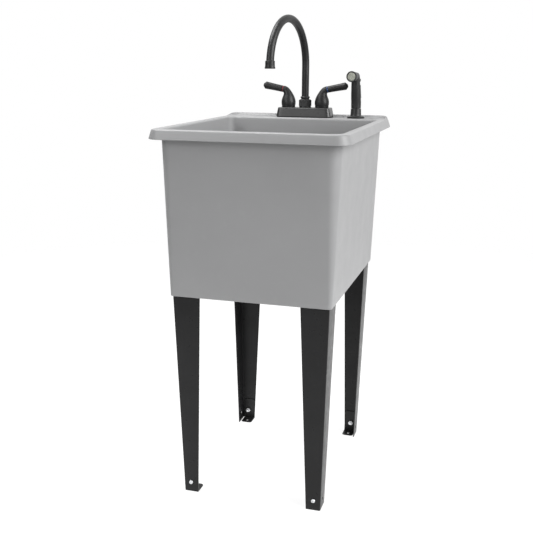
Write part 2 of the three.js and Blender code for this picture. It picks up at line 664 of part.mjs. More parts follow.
// Spray handle: a tapered grip whose back leans forward, turned forward into a round head.
// Its own frame has the holder's axis as Z and the head along -Y.
function sprayBody() {
  const grip = loft([
    [0, 882, 11.9], [0, 897, 12.1], [-0.8, 912, 11.9], [-2, 930, 11.2], [-2.8, 945, 10.6],
    [-3, 956, 10.4], [-3.5, 965, 9.6], [-4.5, 970, 7],
  ].map(([y, z, radius]) => roundRing({ x: 0, y: y + leanAt(z), z, radius })));
  const head = nozzleFrame(turned([
    [0, -5], [6, -4.5], [9.4, 0], [10.6, 8], [11.8, 22], [13.1, sprayHeadReach - 3],
    [13.1, sprayHeadReach - 2.4], [0, sprayHeadReach - 2.4],
  ]));
  const tail = turned([[0, 848], [8, 848], [8.4, 878], [8.4, 883], [0, 883]]);
  const waterway = rod(3, 846, 937, 12).add(crossRod(3, 0, sprayHeadZ - 26, -9, 0, 12));
  const mouth = nozzleFrame(rod(9.5, sprayHeadReach - 8, sprayHeadReach).add(rod(3, 0, sprayHeadReach, 12)));
  const riser = rod(3, 933, sprayHeadZ, 12).translate([0, -9, 0]);
  const plungerBore = crossRod(2.6, 0, plungerZ, leanAt(plungerZ) - 2, leanAt(plungerZ) + 12, 14);
  const pivotSlot = box(-5.4, 5.4, 0, 20, triggerPivot.z - 7, triggerPivot.z + 12);
  return grip.add(head).add(tail).subtract(waterway).subtract(riser).subtract(mouth)
    .subtract(plungerBore).subtract(pivotSlot)
    .add(pivotLug(-1)).add(pivotLug(1));
}

// Cheek beside the trigger that carries one end of its pin.
function pivotLug(sx) {
  const { y, z } = triggerPivot;
  const lug = sideRod(3.6, y - 1, z, 5.4, 8.2, 14).add(box(5.4, 8.2, -6, y - 1, z - 3.6, z + 3.6));
  return lug.subtract(sideRod(1.3, y, z, 0, 10, 12)).scale([sx, 1, 1]);
}

// Squeeze lever behind the grip, hinged at its top; its free end stands off the grip.
function triggerBody() {
  const { y, z } = triggerPivot;
  const side = new THREE.Shape();
  side.moveTo(y - 2.6, z + 1);
  side.lineTo(y - 2.2, z - 5);
  side.lineTo(8.2, 938);
  side.quadraticCurveTo(10.8, 922, 16.3, 907);
  side.lineTo(18.9, 907.6);
  side.quadraticCurveTo(14, 922, 11.6, 938);
  side.lineTo(y + 3.9, z + 1);
  side.quadraticCurveTo(y + 3.5, z + 3.6, y, z + 3.6);
  side.quadraticCurveTo(y - 2.6, z + 3.4, y - 2.6, z + 1);
  const slab = (half) => solid(new THREE.ExtrudeGeometry(side, {
    depth: 2 * half, bevelEnabled: false, curveSegments: 5,
  }).rotateX(quarterTurn).rotateZ(quarterTurn).translate(-half, 0, 0));
  const paddle = slab(7.4).intersect(box(-10, 10, 0, 30, 900, 940));
  return slab(4.9).add(paddle).subtract(sideRod(1.35, y, z, -10, 10, 12));
}

function addSpray(sink) {
  const station = new THREE.Group();
  station.position.set(sprayX, deckY, 0);
  sink.add(station);
  addPiece(station, 'sprayer_holder', holderBody(), finishes.blackPlastic);
  addPiece(station, 'sprayer_holder_gasket', tube(21.5, 12.4, rimHeight + 0.3, 859.2), finishes.rubber);
  addPiece(station, 'sprayer_holder_nut', nutBody({
    sides: 8, radius: 17, z0: 840, z1: 851.4, bevel: 0.8, bores: [[12.4, 839, 852]],
  }), finishes.whitePlastic);

  const spray = new THREE.Group();
  spray.rotation.z = -sprayYaw;
  station.add(spray);
  addPiece(spray, 'sprayer_body', sprayBody(), finishes.blackPlastic);
  addPiece(spray, 'sprayer_face_ring', nozzleFrame(
    tube(13.4, 10.7, sprayHeadReach - 2, sprayHeadReach, 24)), finishes.blackPlastic);
  let face = rod(10.3, sprayHeadReach - 2, sprayHeadReach - 0.4, 24);
  for (let i = 0; i < 8; i += 1) {
    face = face.subtract(rod(0.9, 30, 45, 6).translate([6.4, 0, 0]).rotate([0, 0, 45 * i]));
  }
  addPiece(spray, 'sprayer_face', nozzleFrame(face), finishes.sprayFace);
  addPiece(spray, 'sprayer_trigger', triggerBody(), finishes.blackPlastic);
  addPiece(spray, 'sprayer_trigger_pin', sideRod(1, triggerPivot.y, triggerPivot.z, -8, 8, 12), finishes.steel);
  const seat = leanAt(plungerZ);
  addPiece(spray, 'sprayer_valve_plunger', crossRod(2.2, 0, plungerZ, seat + 4, seat + 12.4, 14), finishes.brass);
  addPiece(spray, 'sprayer_hose_nipple', tube(5, 2.6, 832, 847.6, 16), finishes.brass);
}

// ---------- assembly ----------

const laundrySink = new THREE.Group();
addPiece(laundrySink, 'tub', tubBody(), finishes.tub);
addLegs(laundrySink);
addDrain(laundrySink);
addTap(laundrySink);
addSpray(laundrySink);

export default laundrySink;
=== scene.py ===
import bmesh
import bpy
from math import atan2, cos, degrees, dist, hypot, pi, radians, sin, sqrt, tan
from mathutils import Matrix, Vector


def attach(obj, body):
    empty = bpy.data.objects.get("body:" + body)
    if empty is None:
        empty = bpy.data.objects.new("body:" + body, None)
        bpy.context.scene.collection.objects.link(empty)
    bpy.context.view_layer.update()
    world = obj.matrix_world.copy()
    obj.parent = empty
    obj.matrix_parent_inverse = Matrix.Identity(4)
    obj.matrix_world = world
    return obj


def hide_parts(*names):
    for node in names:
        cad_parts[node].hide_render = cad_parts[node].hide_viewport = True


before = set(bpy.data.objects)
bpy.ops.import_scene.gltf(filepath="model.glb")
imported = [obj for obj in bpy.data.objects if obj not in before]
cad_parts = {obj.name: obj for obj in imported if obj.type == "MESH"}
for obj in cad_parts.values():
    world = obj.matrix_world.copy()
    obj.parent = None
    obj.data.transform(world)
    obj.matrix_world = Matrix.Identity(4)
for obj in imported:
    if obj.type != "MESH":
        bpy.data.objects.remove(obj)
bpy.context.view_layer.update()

mm = 0.001
print("frame loaded:", len(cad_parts), "nodes")

# shapes, all in millimetres until the mesh is made

def blendTo(a, b, t):
    return a + (b - a) * t


def smoothStep(t):
    t = min(max(t, 0.0), 1.0)
    return t * t * (3 - 2 * t)


def quarterTurn(steps):  # share, sine and cosine at each step from 0 to 90 degrees
    turns = [(k / steps, radians(90 * k / steps)) for k in range(1, steps + 1)]
    return [(share, sin(turn), cos(turn)) for share, turn in turns]


def polar(radius, angle, z=0.0, x=0.0, y=0.0):  # point at an angle about (x, y)
    return Vector((x + radius * cos(angle), y + radius * sin(angle), z))


def roundRect(x, front, back, radius, z, cornerSteps=10, sideSteps=22):  # rounded rectangle, anticlockwise
    centres = [(x - radius, back - radius), (radius - x, back - radius),
               (radius - x, front + radius), (x - radius, front + radius)]
    ring = []
    for k, (cx, cy) in enumerate(centres):
        ring += [polar(radius, radians(90 * (k + i / cornerSteps)), z, cx, cy)
                 for i in range(cornerSteps + 1)]
        nx, ny = centres[(k + 1) % 4]
        start = ring[-1]
        end = polar(radius, radians(90 * (k + 1)), z, nx, ny)
        ring += [start.lerp(end, i / sideSteps) for i in range(1, sideSteps)]
    return ring


def matchingCircle(cx, cy, radius, z, cornerSteps=10, sideSteps=22):  # circle with roundRect's point count
    angles = []
    for k in range(4):
        angles += [90 * k + 22.5 + 45 * i / cornerSteps for i in range(cornerSteps + 1)]
        angles += [90 * k + 67.5 + 45 * i / sideSteps for i in range(1, sideSteps)]
    return [polar(radius, radians(a), z, cx, cy) for a in angles]


def circle(radius, z, sides=64, x=0.0, y=0.0, lean=0.0):  # lean tips it about Y, in degrees
    tilt = Matrix.Rotation(radians(lean), 3, "Y")
    ring = [polar(radius, 2 * pi * i / sides) for i in range(sides)]
    return [tilt @ p + Vector((x, y, z)) for p in ring]


def between(ringA, ringB, steps):  # rings evenly spaced from A to B, without A
    return [[a.lerp(b, i / steps) for a, b in zip(ringA, ringB)] for i in range(1, steps + 1)]


def loft(rings, closed=False):  # skin over rings, capped with fans unless it closes on itself
    count = len(rings[0])
    points = [p for ring in rings for p in ring]
    faces = []
    last = len(rings) if closed else len(rings) - 1
    for i in range(last):
        a = i * count
        b = ((i + 1) % len(rings)) * count
        faces += [(a + j, a + (j + 1) % count, b + (j + 1) % count, b + j) for j in range(count)]
    if not closed:
        faces.append(tuple(reversed(range(count))))
        top = (len(rings) - 1) * count
        faces.append(tuple(range(top, top + count)))
    return points, faces


def filleted(profile):  # (a, b, radius) corners to a smooth polyline; radius may be left out
    result = []
    for i, corner in enumerate(profile):
        here = Vector(corner[:2])
        radius = corner[2] if len(corner) > 2 else 0
        if radius == 0 or i in (0, len(profile) - 1):
            result.append(here)
            continue
        before = (Vector(profile[i - 1][:2]) - here).normalized()
        after = (Vector(profile[i + 1][:2]) - here).normalized()
        half = before.angle(after) / 2
        reach = radius / tan(half)
        centre = here + (before + after).normalized() * (radius / sin(half))
        start = here + before * reach
        end = here + after * reach
        first = start - centre
        swing = first.angle_signed(end - centre)
        steps = max(2, int(degrees(abs(swing)) / 15))
        result += [centre + Matrix.Rotation(-swing * k / steps, 2) @ first for k in range(steps + 1)]
    return result


def lathe(profile, sides=64):  # turned solid about Z from (radius, z, fillet) corners
    outline = filleted(profile)
    rings = [circle(max(p.x, 0.001), p.y, sides) for p in outline]
    closed = (outline[0] - outline[-1]).length < 1e-6
    return loft(rings[:-1], True) if closed else loft(rings)


def rod(radius, low, high, sides=40, ease=0):
    return lathe([(0, low), (radius, low, ease), (radius, high, ease), (0, high)], sides)


def sleeve(bore, radius, low, high, ease, sides=72):
    return lathe([(bore, low), (radius, low, ease), (radius, high, ease), (bore, high), (bore, low)], sides)


def threaded(radius, depth, pitch, low, high, sides):  # rod with helical ridges that fade at its ends
    perTurn = 4
    levels = int((high - low) / pitch * perTurn)
    rings = []
    for i in range(levels + 1):
        z = blendTo(low, high, i / levels)
        fade = min(1, 3 * min(i, levels - i) / perTurn)
        ring = []
        for k in range(sides):
            wave = (z / pitch - k / sides) % 1
            r = radius - depth * fade * abs(2 * wave - 1)
            ring.append(polar(r, 2 * pi * k / sides, z))
        rings.append(ring)
    return loft(rings)


def sweep(section, centres, tangents, side):  # flat section carried along a path in a plane normal to side
    rings = []
    for centre, tangent in zip(centres, tangents):
        up = tangent.cross(side).normalized()
        rings.append([centre + side * p.x + up * p.y for p in section])
    return rings


def slab(outline, low, high, bevel):  # flat plate from an (x, y) outline, with eased edges
    def inset(amount, z):
        ring = []
        for i, p in enumerate(outline):
            before = (p - outline[i - 1]).normalized()
            after = (outline[(i + 1) % len(outline)] - p).normalized()
            normal = (Vector((-before.y, before.x)) + Vector((-after.y, after.x))).normalized()
            ring.append(Vector((p.x + normal.x * amount, p.y + normal.y * amount, z)))
        return ring
    return loft([inset(bevel, low), inset(0, low + bevel), inset(0, high - bevel), inset(bevel, high)])


def outlineOf(corners):  # closed outline with rounded corners from (x, y, radius), anticlockwise
    looped = [corners[-1]] + list(corners) + [corners[0]]
    points = filleted(looped)[1:-1]
    return [p for i, p in enumerate(points) if (p - points[i - 1]).length > 1e-4]


def brick(x0, x1, y0, y1, z0, z1, bevel):
    return slab([Vector(p) for p in ((x0, y0), (x1, y0), (x1, y1), (x0, y1))], z0, z1, bevel)


def moved(shape, matrix):
    points, faces = shape
    return [matrix @ p for p in points], faces


def shift(x, y, z):
    return Matrix.Translation((x, y, z))


def turnAbout(axis, angle):  # in degrees
    return Matrix.Rotation(radians(angle), 4, axis)


def around(shape, count, start=0):  # copies turned evenly about Z
    return [moved(shape, turnAbout("Z", start + 360 * i / count)) for i in range(count)]


def meshOf(shape):  # mesh in metres, with its faces pointing out
    points, faces = shape
    mesh = bpy.data.meshes.new("shape")
    mesh.from_pydata([p * mm for p in points], [], faces)
    work = bmesh.new()
    work.from_mesh(mesh)
    bmesh.ops.remove_doubles(work, verts=work.verts, dist=1e-6)
    bmesh.ops.recalc_face_normals(work, faces=work.faces)
    work.to_mesh(mesh)
    work.free()
    return mesh


def newObject(name, data):
    made = bpy.data.objects.new(name, data)
    bpy.context.scene.collection.objects.link(made)
    return made


def cutWith(mesh, shapes, operation="DIFFERENCE"):
    host = newObject("cutHost", mesh)
    cutters = [newObject("cutter", meshOf(shape)) for shape in shapes]
    for cutter in cutters:
        modifier = host.modifiers.new("cut", "BOOLEAN")
        modifier.operation = operation
        modifier.solver = "EXACT"
        modifier.object = cutter
    evaluated = host.evaluated_get(bpy.context.evaluated_depsgraph_get())
    result = bpy.data.meshes.new_from_object(evaluated)
    for spare in cutters + [host]:
        bpy.data.objects.remove(spare)
    return result


def placedCopy(mesh, place):  # copy of a finished mesh, turned the right way out if the place mirrors it
    copy = mesh.copy()
    scaled = place.copy()
    scaled.translation = place.translation * mm
    copy.transform(scaled)
    if place.determinant() < 0:
        copy.flip_normals()
    return copy


def addPiece(name, part, place, finish, body, replaced, sharpAngle=38):  # part: a shape or a finished mesh
    mesh = meshOf(moved(part, place)) if isinstance(part, tuple) else placedCopy(part, place)
    mesh.name = name
    mesh.materials.clear()
    mesh.materials.append(finishes[finish]["material"])
    mesh.shade_smooth()
    mesh.set_sharp_from_angle(angle=radians(sharpAngle))
    piece = newObject(name, mesh)
    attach(piece, body)
    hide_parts(replaced)


def keepNode(node, finish):  # a CAD node whose shape is right gets the finish only
    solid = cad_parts[node]
    solid.data.materials.clear()
    solid.data.materials.append(finishes[finish]["material"])


# finishes

ringLook = {
    "patch": (150, 0.12), "grain": (900, 0.00004), "wave": (200, 0.00005),
    "roughness": (0.28, 0.40), "scuffs": 0.1,
}
finishes = {  # patch, grain and wave: how fine the noise is, and how strong; edge wear amount: how far convex edges are paled, partly wear and partly painted highlight
    "tubPlastic": {
        "slot": "tub_plastic", "colour": (0.310, 0.311, 0.315), "patch": (5, 0.035),
        "grain": (700, 0.00005), "wave": (9, 0.0005), "roughness": (0.38, 0.50), "scuffs": 0.10,
    },
    "powderCoat": {
        "slot": "black_steel", "specular": 0.27, "colour": (0.009, 0.009, 0.0095), "patch": (14, 0.25),
        "grain": (1400, 0.00004), "wave": (24, 0.0001), "roughness": (0.26, 0.38),
        "scuffs": 0.35, "edgeWearAndHighlight": 0.10,
    },
    "blackMetal": {
        "slot": "black_metal", "specular": 0.4, "colour": (0.020, 0.020, 0.0205), "patch": (60, 0.25),
        "grain": (1800, 0.00002), "wave": (70, 0.00004), "roughness": (0.36, 0.46),
        "scuffs": 0.25, "edgeWearAndHighlight": 0.05,
    },
    "blackPlastic": {
        "slot": "black_plastic", "specular": 0.55, "colour": (0.036, 0.036, 0.0365), "patch": (45, 0.15),
        "grain": (1500, 0.00004), "wave": (60, 0.0001), "roughness": (0.26, 0.36),
        "scuffs": 0.25, "edgeWearAndHighlight": 0.05,
    },
    "gripPlastic": {
        "slot": "black_plastic", "specular": 0.4, "colour": (0.028, 0.028, 0.0285), "patch": (45, 0.2),
        "grain": (1500, 0.00004), "wave": (60, 0.00006), "roughness": (0.34, 0.46),
        "scuffs": 0.25, "edgeWearAndHighlight": 0.05,
    },
    "zinc": {
        "slot": "zinc_steel", "colour": (0.78, 0.79, 0.81), "patch": (220, 0.08),
        "grain": (1600, 0.00004), "wave": (300, 0.00003), "roughness": (0.20, 0.38), "metallic": 1,
        "scuffs": 0.2,
    },
    "stainless": {
        "slot": "stainless", "colour": (0.60, 0.60, 0.61), "patch": (80, 0.06),
        "grain": (1200, 0.00004), "wave": (120, 0.00004), "roughness": (0.18, 0.34), "metallic": 1,
        "scuffs": 0.25, "brushed": 18.0,
    },
    "brass": {
        "slot": "brass", "colour": (0.72, 0.52, 0.24), "patch": (90, 0.14),
        "grain": (700, 0.00012), "wave": (150, 0.0001), "roughness": (0.30, 0.50), "metallic": 1,
        "scuffs": 0.35,
    },
    "whitePlastic": {
        "slot": "white_plastic", "colour": (0.72, 0.72, 0.69), "patch": (40, 0.05),
        "grain": (900, 0.00008), "wave": (60, 0.0001), "roughness": (0.36, 0.50), "scuffs": 0.12,
    },
    "rubber": {
        "slot": "rubber", "colour": (0.014, 0.014, 0.014), "patch": (70, 0.3),
        "grain": (1300, 0.00015), "wave": (90, 0.0001), "roughness": (0.70, 0.88), "scuffs": 0.3,
    },
    "sprayFace": {
        "slot": "spray_face_plastic", "colour": (0.50, 0.515, 0.44), "patch": (160, 0.08),
        "grain": (900, 0.00008), "wave": (200, 0.0001), "roughness": (0.45, 0.60), "scuffs": 0.1,
    },
    "redRing": {"slot": "red_ring", "colour": (0.26, 0.035, 0.05), **ringLook},
    "blueRing": {"slot": "blue_ring", "colour": (0.035, 0.10, 0.30), **ringLook},
}
# scuffs are wear; the pale edges are partly edge wear and partly a painted highlight
wearAndEdgeHighlight = {
    "scuffsAt": (0.56, 0.74), "scuffFiner": 9, "scuffPale": (1.25, 0.012), "roughFiner": 4,
    "edgesAt": (0.54, 0.62), "edgeWearAndHighlightColour": (0.25, 0.25, 0.25),
}


def setInputs(node, values):
    for socket, value in values.items():
        node.inputs[socket].default_value = value
    return node


def addNode(tree, kind, values):
    return setInputs(tree.nodes.new("ShaderNode" + kind), values)


def noiseAt(tree, vector, scale, detail, roughness=0.55):
    node = addNode(tree, "TexNoise", {"Scale": scale, "Detail": detail, "Roughness": roughness})
    tree.links.new(vector, node.inputs["Vector"])
    return node.outputs["Fac"]


def spread(tree, value, low, high, fromLow=0.3, fromHigh=0.7):
    node = addNode(tree, "MapRange", {
        "From Min": fromLow, "From Max": fromHigh, "To Min": low, "To Max": high,
    })
    tree.links.new(value, node.inputs["Value"])
    return node.outputs["Result"]


def mixColours(tree, factor, first, second):
    node = tree.nodes.new("ShaderNodeMix")
    node.data_type = "RGBA"
    tree.links.new(factor, node.inputs["Factor"])
    for socket, colour in ((node.inputs[6], first), (node.inputs[7], second)):
        if isinstance(colour, tuple):
            socket.default_value = (*colour, 1)
        else:
            tree.links.new(colour, socket)
    return node.outputs[2]


def bumpFrom(tree, height, distance, previous=None):
    node = addNode(tree, "Bump", {"Strength": 1.0, "Distance": distance})
    tree.links.new(height, node.inputs["Height"])
    if previous:
        tree.links.new(previous, node.inputs["Normal"])
    return node.outputs["Normal"]


def makeFinish(name, look):  # patches, scuffs, pale convex edges that are partly wear and partly painted highlight, grain and waviness from object coordinates
    material = bpy.data.materials.new(name)
    material.use_nodes = True
    tree = material.node_tree
    shader = tree.nodes["Principled BSDF"]
    setInputs(shader, {"Metallic": look.get("metallic", 0), "Specular IOR Level": look.get("specular", 0.5)})
    place = tree.nodes.new("ShaderNodeTexCoord").outputs["Object"]
    fine = place
    if "brushed" in look:
        stretch = addNode(tree, "Mapping", {"Scale": (1, 1, look["brushed"])})
        tree.links.new(place, stretch.inputs["Vector"])
        fine = stretch.outputs["Vector"]
    base = look["colour"]
    patches, contrast = look["patch"]
    dark, light = (tuple(min(c * (1 + change), 1) for c in base) for change in (-contrast, contrast))
    colour = mixColours(tree, spread(tree, noiseAt(tree, place, patches, 4), 0, 1), dark, light)
    scuffNoise = noiseAt(tree, place, patches * wearAndEdgeHighlight["scuffFiner"], 6, 0.7)
    scuff = spread(tree, scuffNoise, 0, look["scuffs"], *wearAndEdgeHighlight["scuffsAt"])
    factor, lift = wearAndEdgeHighlight["scuffPale"]
    colour = mixColours(tree, scuff, colour, tuple(min(c * factor + lift, 1) for c in base))
    # convex edges found by pointiness are paled towards grey: partly edge wear, partly a painted highlight
    if "edgeWearAndHighlight" in look:
        point = tree.nodes.new("ShaderNodeNewGeometry").outputs["Pointiness"]
        wornAndLitEdges = spread(tree, point, 0, look["edgeWearAndHighlight"], *wearAndEdgeHighlight["edgesAt"])
        colour = mixColours(tree, wornAndLitEdges, colour, wearAndEdgeHighlight["edgeWearAndHighlightColour"])
    tree.links.new(colour, shader.inputs["Base Color"])
    rough = spread(tree, noiseAt(tree, fine, patches * wearAndEdgeHighlight["roughFiner"], 5, 0.6), *look["roughness"])
    tree.links.new(rough, shader.inputs["Roughness"])
    waves, waveDepth = look["wave"]
    grains, grainDepth = look["grain"]
    rippled = bumpFrom(tree, noiseAt(tree, place, waves, 2), waveDepth)
    grained = bumpFrom(tree, noiseAt(tree, fine, grains, 2), grainDepth, rippled)
    tree.links.new(grained, shader.inputs["Normal"])
    return material


for finishName, look in finishes.items():
    look["material"] = makeFinish(finishName, look)
print("finishes made:", len(finishes))

# camera, light and floor

view = {
    "pixels": 533, "focalPixels": 836, "sensor": 36,
    "azimuth": 16.6, "elevation": 13.8, "roll": 0.3,
    "distance": 2052, "target": (-31.9, 0, 508.3),
}


def addCamera():
    azimuth, elevation, roll = (radians(view[angle]) for angle in ("azimuth", "elevation", "roll"))
    back = Vector((sin(azimuth) * cos(elevation), -cos(azimuth) * cos(elevation), sin(elevation)))
    side = (-back).cross(Vector((0, 0, 1))).normalized()
    up = side.cross(-back)
    right = side * cos(roll) + up * sin(roll)
    top = up * cos(roll) - side * sin(roll)
    data = bpy.data.cameras.new("camera")
    data.sensor_width = view["sensor"]
    data.lens = view["focalPixels"] / view["pixels"] * view["sensor"]
    data.clip_end = 50
    camera = newObject("camera", data)
    place = (Vector(view["target"]) + back * view["distance"]) * mm
    camera.matrix_world = Matrix.Translation(place) @ Matrix((right, top, back)).transposed().to_4x4()
    bpy.context.scene.camera = camera


studio = {
    "exposure": 0.0,
    "floorColour": (0.3, 0.3, 0.3), "floorGlow": 0.8, "floorSolid": 1.3, "floorEnd": 2.8,
    "sky": {  # aim, how tightly it falls off, strength
        "all": ((0, 0, 1), 0, 0.035),
        "back": ((0, 1, 0.3), 2, 1.05),
    },
    "lamps": {
        "keyRight": {"from": (3.0, -0.8, 2.2), "to": (0, 0, 0.65), "size": 2.6, "power": 145},
        "boxLeft": {"from": (-1.7, -2.2, 2.0), "to": (0, 0.2, 0.8), "size": 0.8, "power": 20.5},
        "boxWide": {"from": (-1.1, -3.2, 1.25), "to": (0, 0.2, 0.85), "size": 1.7, "power": 14.5},
        "topSoft": {"from": (-1.1, 0.0, 2.9), "to": (0, 0, 0.8), "size": 1.6, "power": 65},
    },
}


def mathNode(tree, operation, value, number):
    node = addNode(tree, "Math", {1: number})
    node.operation = operation
    tree.links.new(value, node.inputs[0])
    return node


def addSky():  # lobes of light from the sky, and plain white where the camera sees it
    world = bpy.data.worlds.new("studio")
    world.use_nodes = True
    tree = world.node_tree
    light = tree.nodes["Background"]
    direction = tree.nodes.new("ShaderNodeTexCoord").outputs["Generated"]
    total = None
    for aim, power, strength in studio["sky"].values():
        dot = addNode(tree, "VectorMath", {1: Vector(aim).normalized()})
        dot.operation = "DOT_PRODUCT"
        tree.links.new(direction, dot.inputs[0])
        facing = mathNode(tree, "MAXIMUM", dot.outputs["Value"], 0.0001)
        lobe = mathNode(tree, "POWER", facing.outputs["Value"], power)
        share = mathNode(tree, "MULTIPLY_ADD", lobe.outputs["Value"], strength)
        share.inputs[2].default_value = 0.0
        if total:
            tree.links.new(total, share.inputs[2])
        total = share.outputs["Value"]
    tree.links.new(total, light.inputs["Strength"])
    setInputs(light, {"Color": (1, 1, 1, 1)})
    backdrop = addNode(tree, "Background", {"Color": (1, 1, 1, 1), "Strength": 1.0})
    seen = tree.nodes.new("ShaderNodeLightPath").outputs["Is Camera Ray"]
    mix = tree.nodes.new("ShaderNodeMixShader")
    tree.links.new(seen, mix.inputs[0])
    tree.links.new(light.outputs["Background"], mix.inputs[1])
    tree.links.new(backdrop.outputs["Background"], mix.inputs[2])
    tree.links.new(mix.outputs["Shader"], tree.nodes["World Output"].inputs["Surface"])
    bpy.context.scene.world = world


def addFloor():  # pale disc that fades into the white round it
    end = studio["floorEnd"]
    work = bmesh.new()
    bmesh.ops.create_circle(work, cap_ends=True, radius=end, segments=96)
    mesh = bpy.data.meshes.new("floor")
    work.to_mesh(mesh)
    work.free()
    floor = newObject("floor", mesh)
    material = bpy.data.materials.new("floor")
    material.use_nodes = True
    tree = material.node_tree
    shader = tree.nodes["Principled BSDF"]
    setInputs(shader, {"Base Color": (*studio["floorColour"], 1), "Roughness": 0.9,
                       "Emission Color": (1, 1, 1, 1), "Emission Strength": studio["floorGlow"]})
    distance = tree.nodes.new("ShaderNodeVectorMath")
    distance.operation = "LENGTH"
    tree.links.new(tree.nodes.new("ShaderNodeTexCoord").outputs["Object"], distance.inputs[0])
    fade = spread(tree, distance.outputs["Value"], 1, 0, studio["floorSolid"], end)
    tree.links.new(fade, shader.inputs["Alpha"])
    mesh.materials.append(material)


def addStudio():
    addSky()
    for name, lamp in studio["lamps"].items():
        data = bpy.data.lights.new(name, "AREA")
        data.size = lamp["size"]
        data.energy = lamp["power"]
        light = newObject(name, data)
        aim = Vector(lamp["to"]) - Vector(lamp["from"])
        light.rotation_euler = aim.to_track_quat("-Z", "Y").to_euler()
        light.location = lamp["from"]
    addFloor()
    bpy.context.scene.view_settings.view_transform = "Standard"
    bpy.context.scene.view_settings.exposure = studio["exposure"]


addCamera()
addStudio()
print("camera and studio set")

# tub

tub = {
    "rimHeight": 857, "skirtBottom": 486, "wallTop": 829,
    "footHalf": (185, 244.5), "topHalf": (198, 257.5), "wall": 4,
    "cornerTop": 26, "cornerFoot": 9,
    "overhang": 23.3, "rimCorner": 33, "bowlEdge": 5.5,
    "bowlBackTop": 200, "bowlBackBottom": 190, "bowlCorners": (10, 14, 22, 27),
    "floorEdge": 521, "floorCentre": 517, "floorRound": (26, 24),
    "drain": (0, -25),
    "drainSeat": [  # radius, height over the middle of the floor
        (24.5, -3.4), (24.5, -2.2), (25.2, -1.6), (39.2, -1.6),
        (40, -1.3), (40.3, -0.3), (41.2, 0), (62, 0.3),
    ],
    "underDrain": [(44, 511.4), (25.2, 511.4), (24.5, 512)],
    "lip": [  # height over the rim and inset, without the splash lip and with it, from the deck outwards
        ((0, 14.4), (0, 18.6)), ((0, 13.4), (0.1, 17.7)), ((0, 12.4), (0.5, 16.9)), ((0, 11.4), (1.3, 16.1)),
        ((-0.04, 10.6), (3.3, 14.6)), ((-0.12, 9.9), (5.0, 13.3)), ((-0.28, 9.2), (5.9, 12.4)),
        ((-0.55, 8.4), (6.3, 11.5)), ((-0.95, 7.6), (6.3, 10.7)), ((-1.5, 6.8), (5.9, 9.8)),
        ((-2.4, 6.0), (4.7, 9.1)), ((-3.7, 5.4), (1.0, 8.2)), ((-5.4, 4.9), (-5.0, 5.2)),
    ],
    "lipRamp": (226, 270),
    "rimEdge": [  # height, inset: down the rim's face, round its lower edge and up inside
        (851, 4.6), (847.5, 3.5), (843, 2.1), (839.5, 1.05), (838, 0.6), (836.8, 0.25), (836.1, 0.45),
        (835.7, 1.1), (835.7, 2.2), (836.2, 3.2), (838, 4.4), (843.5, 6.3), (849, 8.2), (850.8, 9.2),
        (851.5, 11), (851.5, 16),
    ],
    "skirtTop": [(850.8, -0.8), (849.2, -0.15), (847.5, 0)],
    "skirtEdge": [(0.6, 0.3), (0.1, 0.9), (0, 1.8), (0.2, 3.2), (1.2, 4)],
    "underside": [(492, 4), (499, 4), (506, 4), (509.5, 4), (512, 4.8), (512.9, 7), (513.4, 11), (515, 26)],
    "space": (519, 840), "spaceTop": [(849, 206.5), (852, 213)], "spaceCorner": 12,
    "window": {"x": 162, "low": 548, "high": 822, "radius": 22, "through": (231, 290)},
    "ribs": [(116.1, 176.1, 232.6, 235.6, 490, 515.5), (173.1, 176.1, 173.6, 234.0, 490, 515.5)],
    "deckY": 236.5, "deckHoles": {-44.5: 14, 0: 10, 44.5: 14, 134: 14}, "deckCut": (840, 870),
}


def wallShare(z):
    return (z - tub["skirtBottom"]) / (tub["wallTop"] - tub["skirtBottom"])


def wallHalf(z):
    share = wallShare(z)
    return tuple(blendTo(a, b, share) for a, b in zip(tub["footHalf"], tub["topHalf"]))


def wallRing(z, inset=0.0):
    x, y = wallHalf(z)
    radius = max(blendTo(tub["cornerFoot"], tub["cornerTop"], wallShare(z)) - inset, 3)
    return roundRect(x - inset, inset - y, y - inset, radius, z)


def rimRing(z, inset):
    x = tub["topHalf"][0] + tub["overhang"] - inset
    y = tub["topHalf"][1] + tub["overhang"] - inset
    return roundRect(x, -y, y, tub["rimCorner"] - inset, z)


def bowlBack(z):
    share = (z - tub["floorEdge"]) / (tub["rimHeight"] - tub["floorEdge"])
    return blendTo(tub["bowlBackBottom"], tub["bowlBackTop"], share)


def bowlRing(z, inset, radius):
    x, y = wallHalf(z)
    thick = tub["wall"] + inset
    return roundRect(x - thick, thick - y, bowlBack(z) - inset, radius, z)


def drainRing(radius, z):
    return matchingCircle(*tub["drain"], radius, z)


def lipRing(plain, raised):  # rim ring that climbs from its plain height to the raised one towards the back
    low, high = (rimRing(tub["rimHeight"] + z, inset) for z, inset in (plain, raised))
    start, end = tub["lipRamp"]
    return [a.lerp(b, smoothStep((a.y - start) / (end - start))) for a, b in zip(low, high)]


def bowlRings():  # from the drain up the bowl's wall to the rim
    floorEdge, rim = tub["floorEdge"], tub["rimHeight"]
    run, rise = tub["floorRound"]
    floorCorner, lowCorner, highCorner, rimCorner = tub["bowlCorners"]
    rings = [drainRing(radius, tub["floorCentre"] + z) for radius, z in tub["drainSeat"]]
    rings += between(rings[-1], bowlRing(floorEdge, run, floorCorner), 7)
    for share, up, out in quarterTurn(8):
        corner = blendTo(floorCorner, lowCorner, share)
        rings.append(bowlRing(floorEdge + rise * (1 - out), run * (1 - up), corner))
    edge = rim - tub["bowlEdge"]
    for k in range(1, 25):
        z = blendTo(floorEdge + rise, edge, k / 24)
        rings.append(bowlRing(z, 0, blendTo(lowCorner, highCorner, k / 24)))
    for share, up, out in quarterTurn(7):
        corner = blendTo(highCorner, rimCorner, share)
        rings.append(bowlRing(edge + (rim - edge) * up, -tub["bowlEdge"] * (1 - out), corner))
    return rings


def rimRings():
    return [lipRing(*step) for step in tub["lip"]] + [rimRing(*step) for step in tub["rimEdge"]]


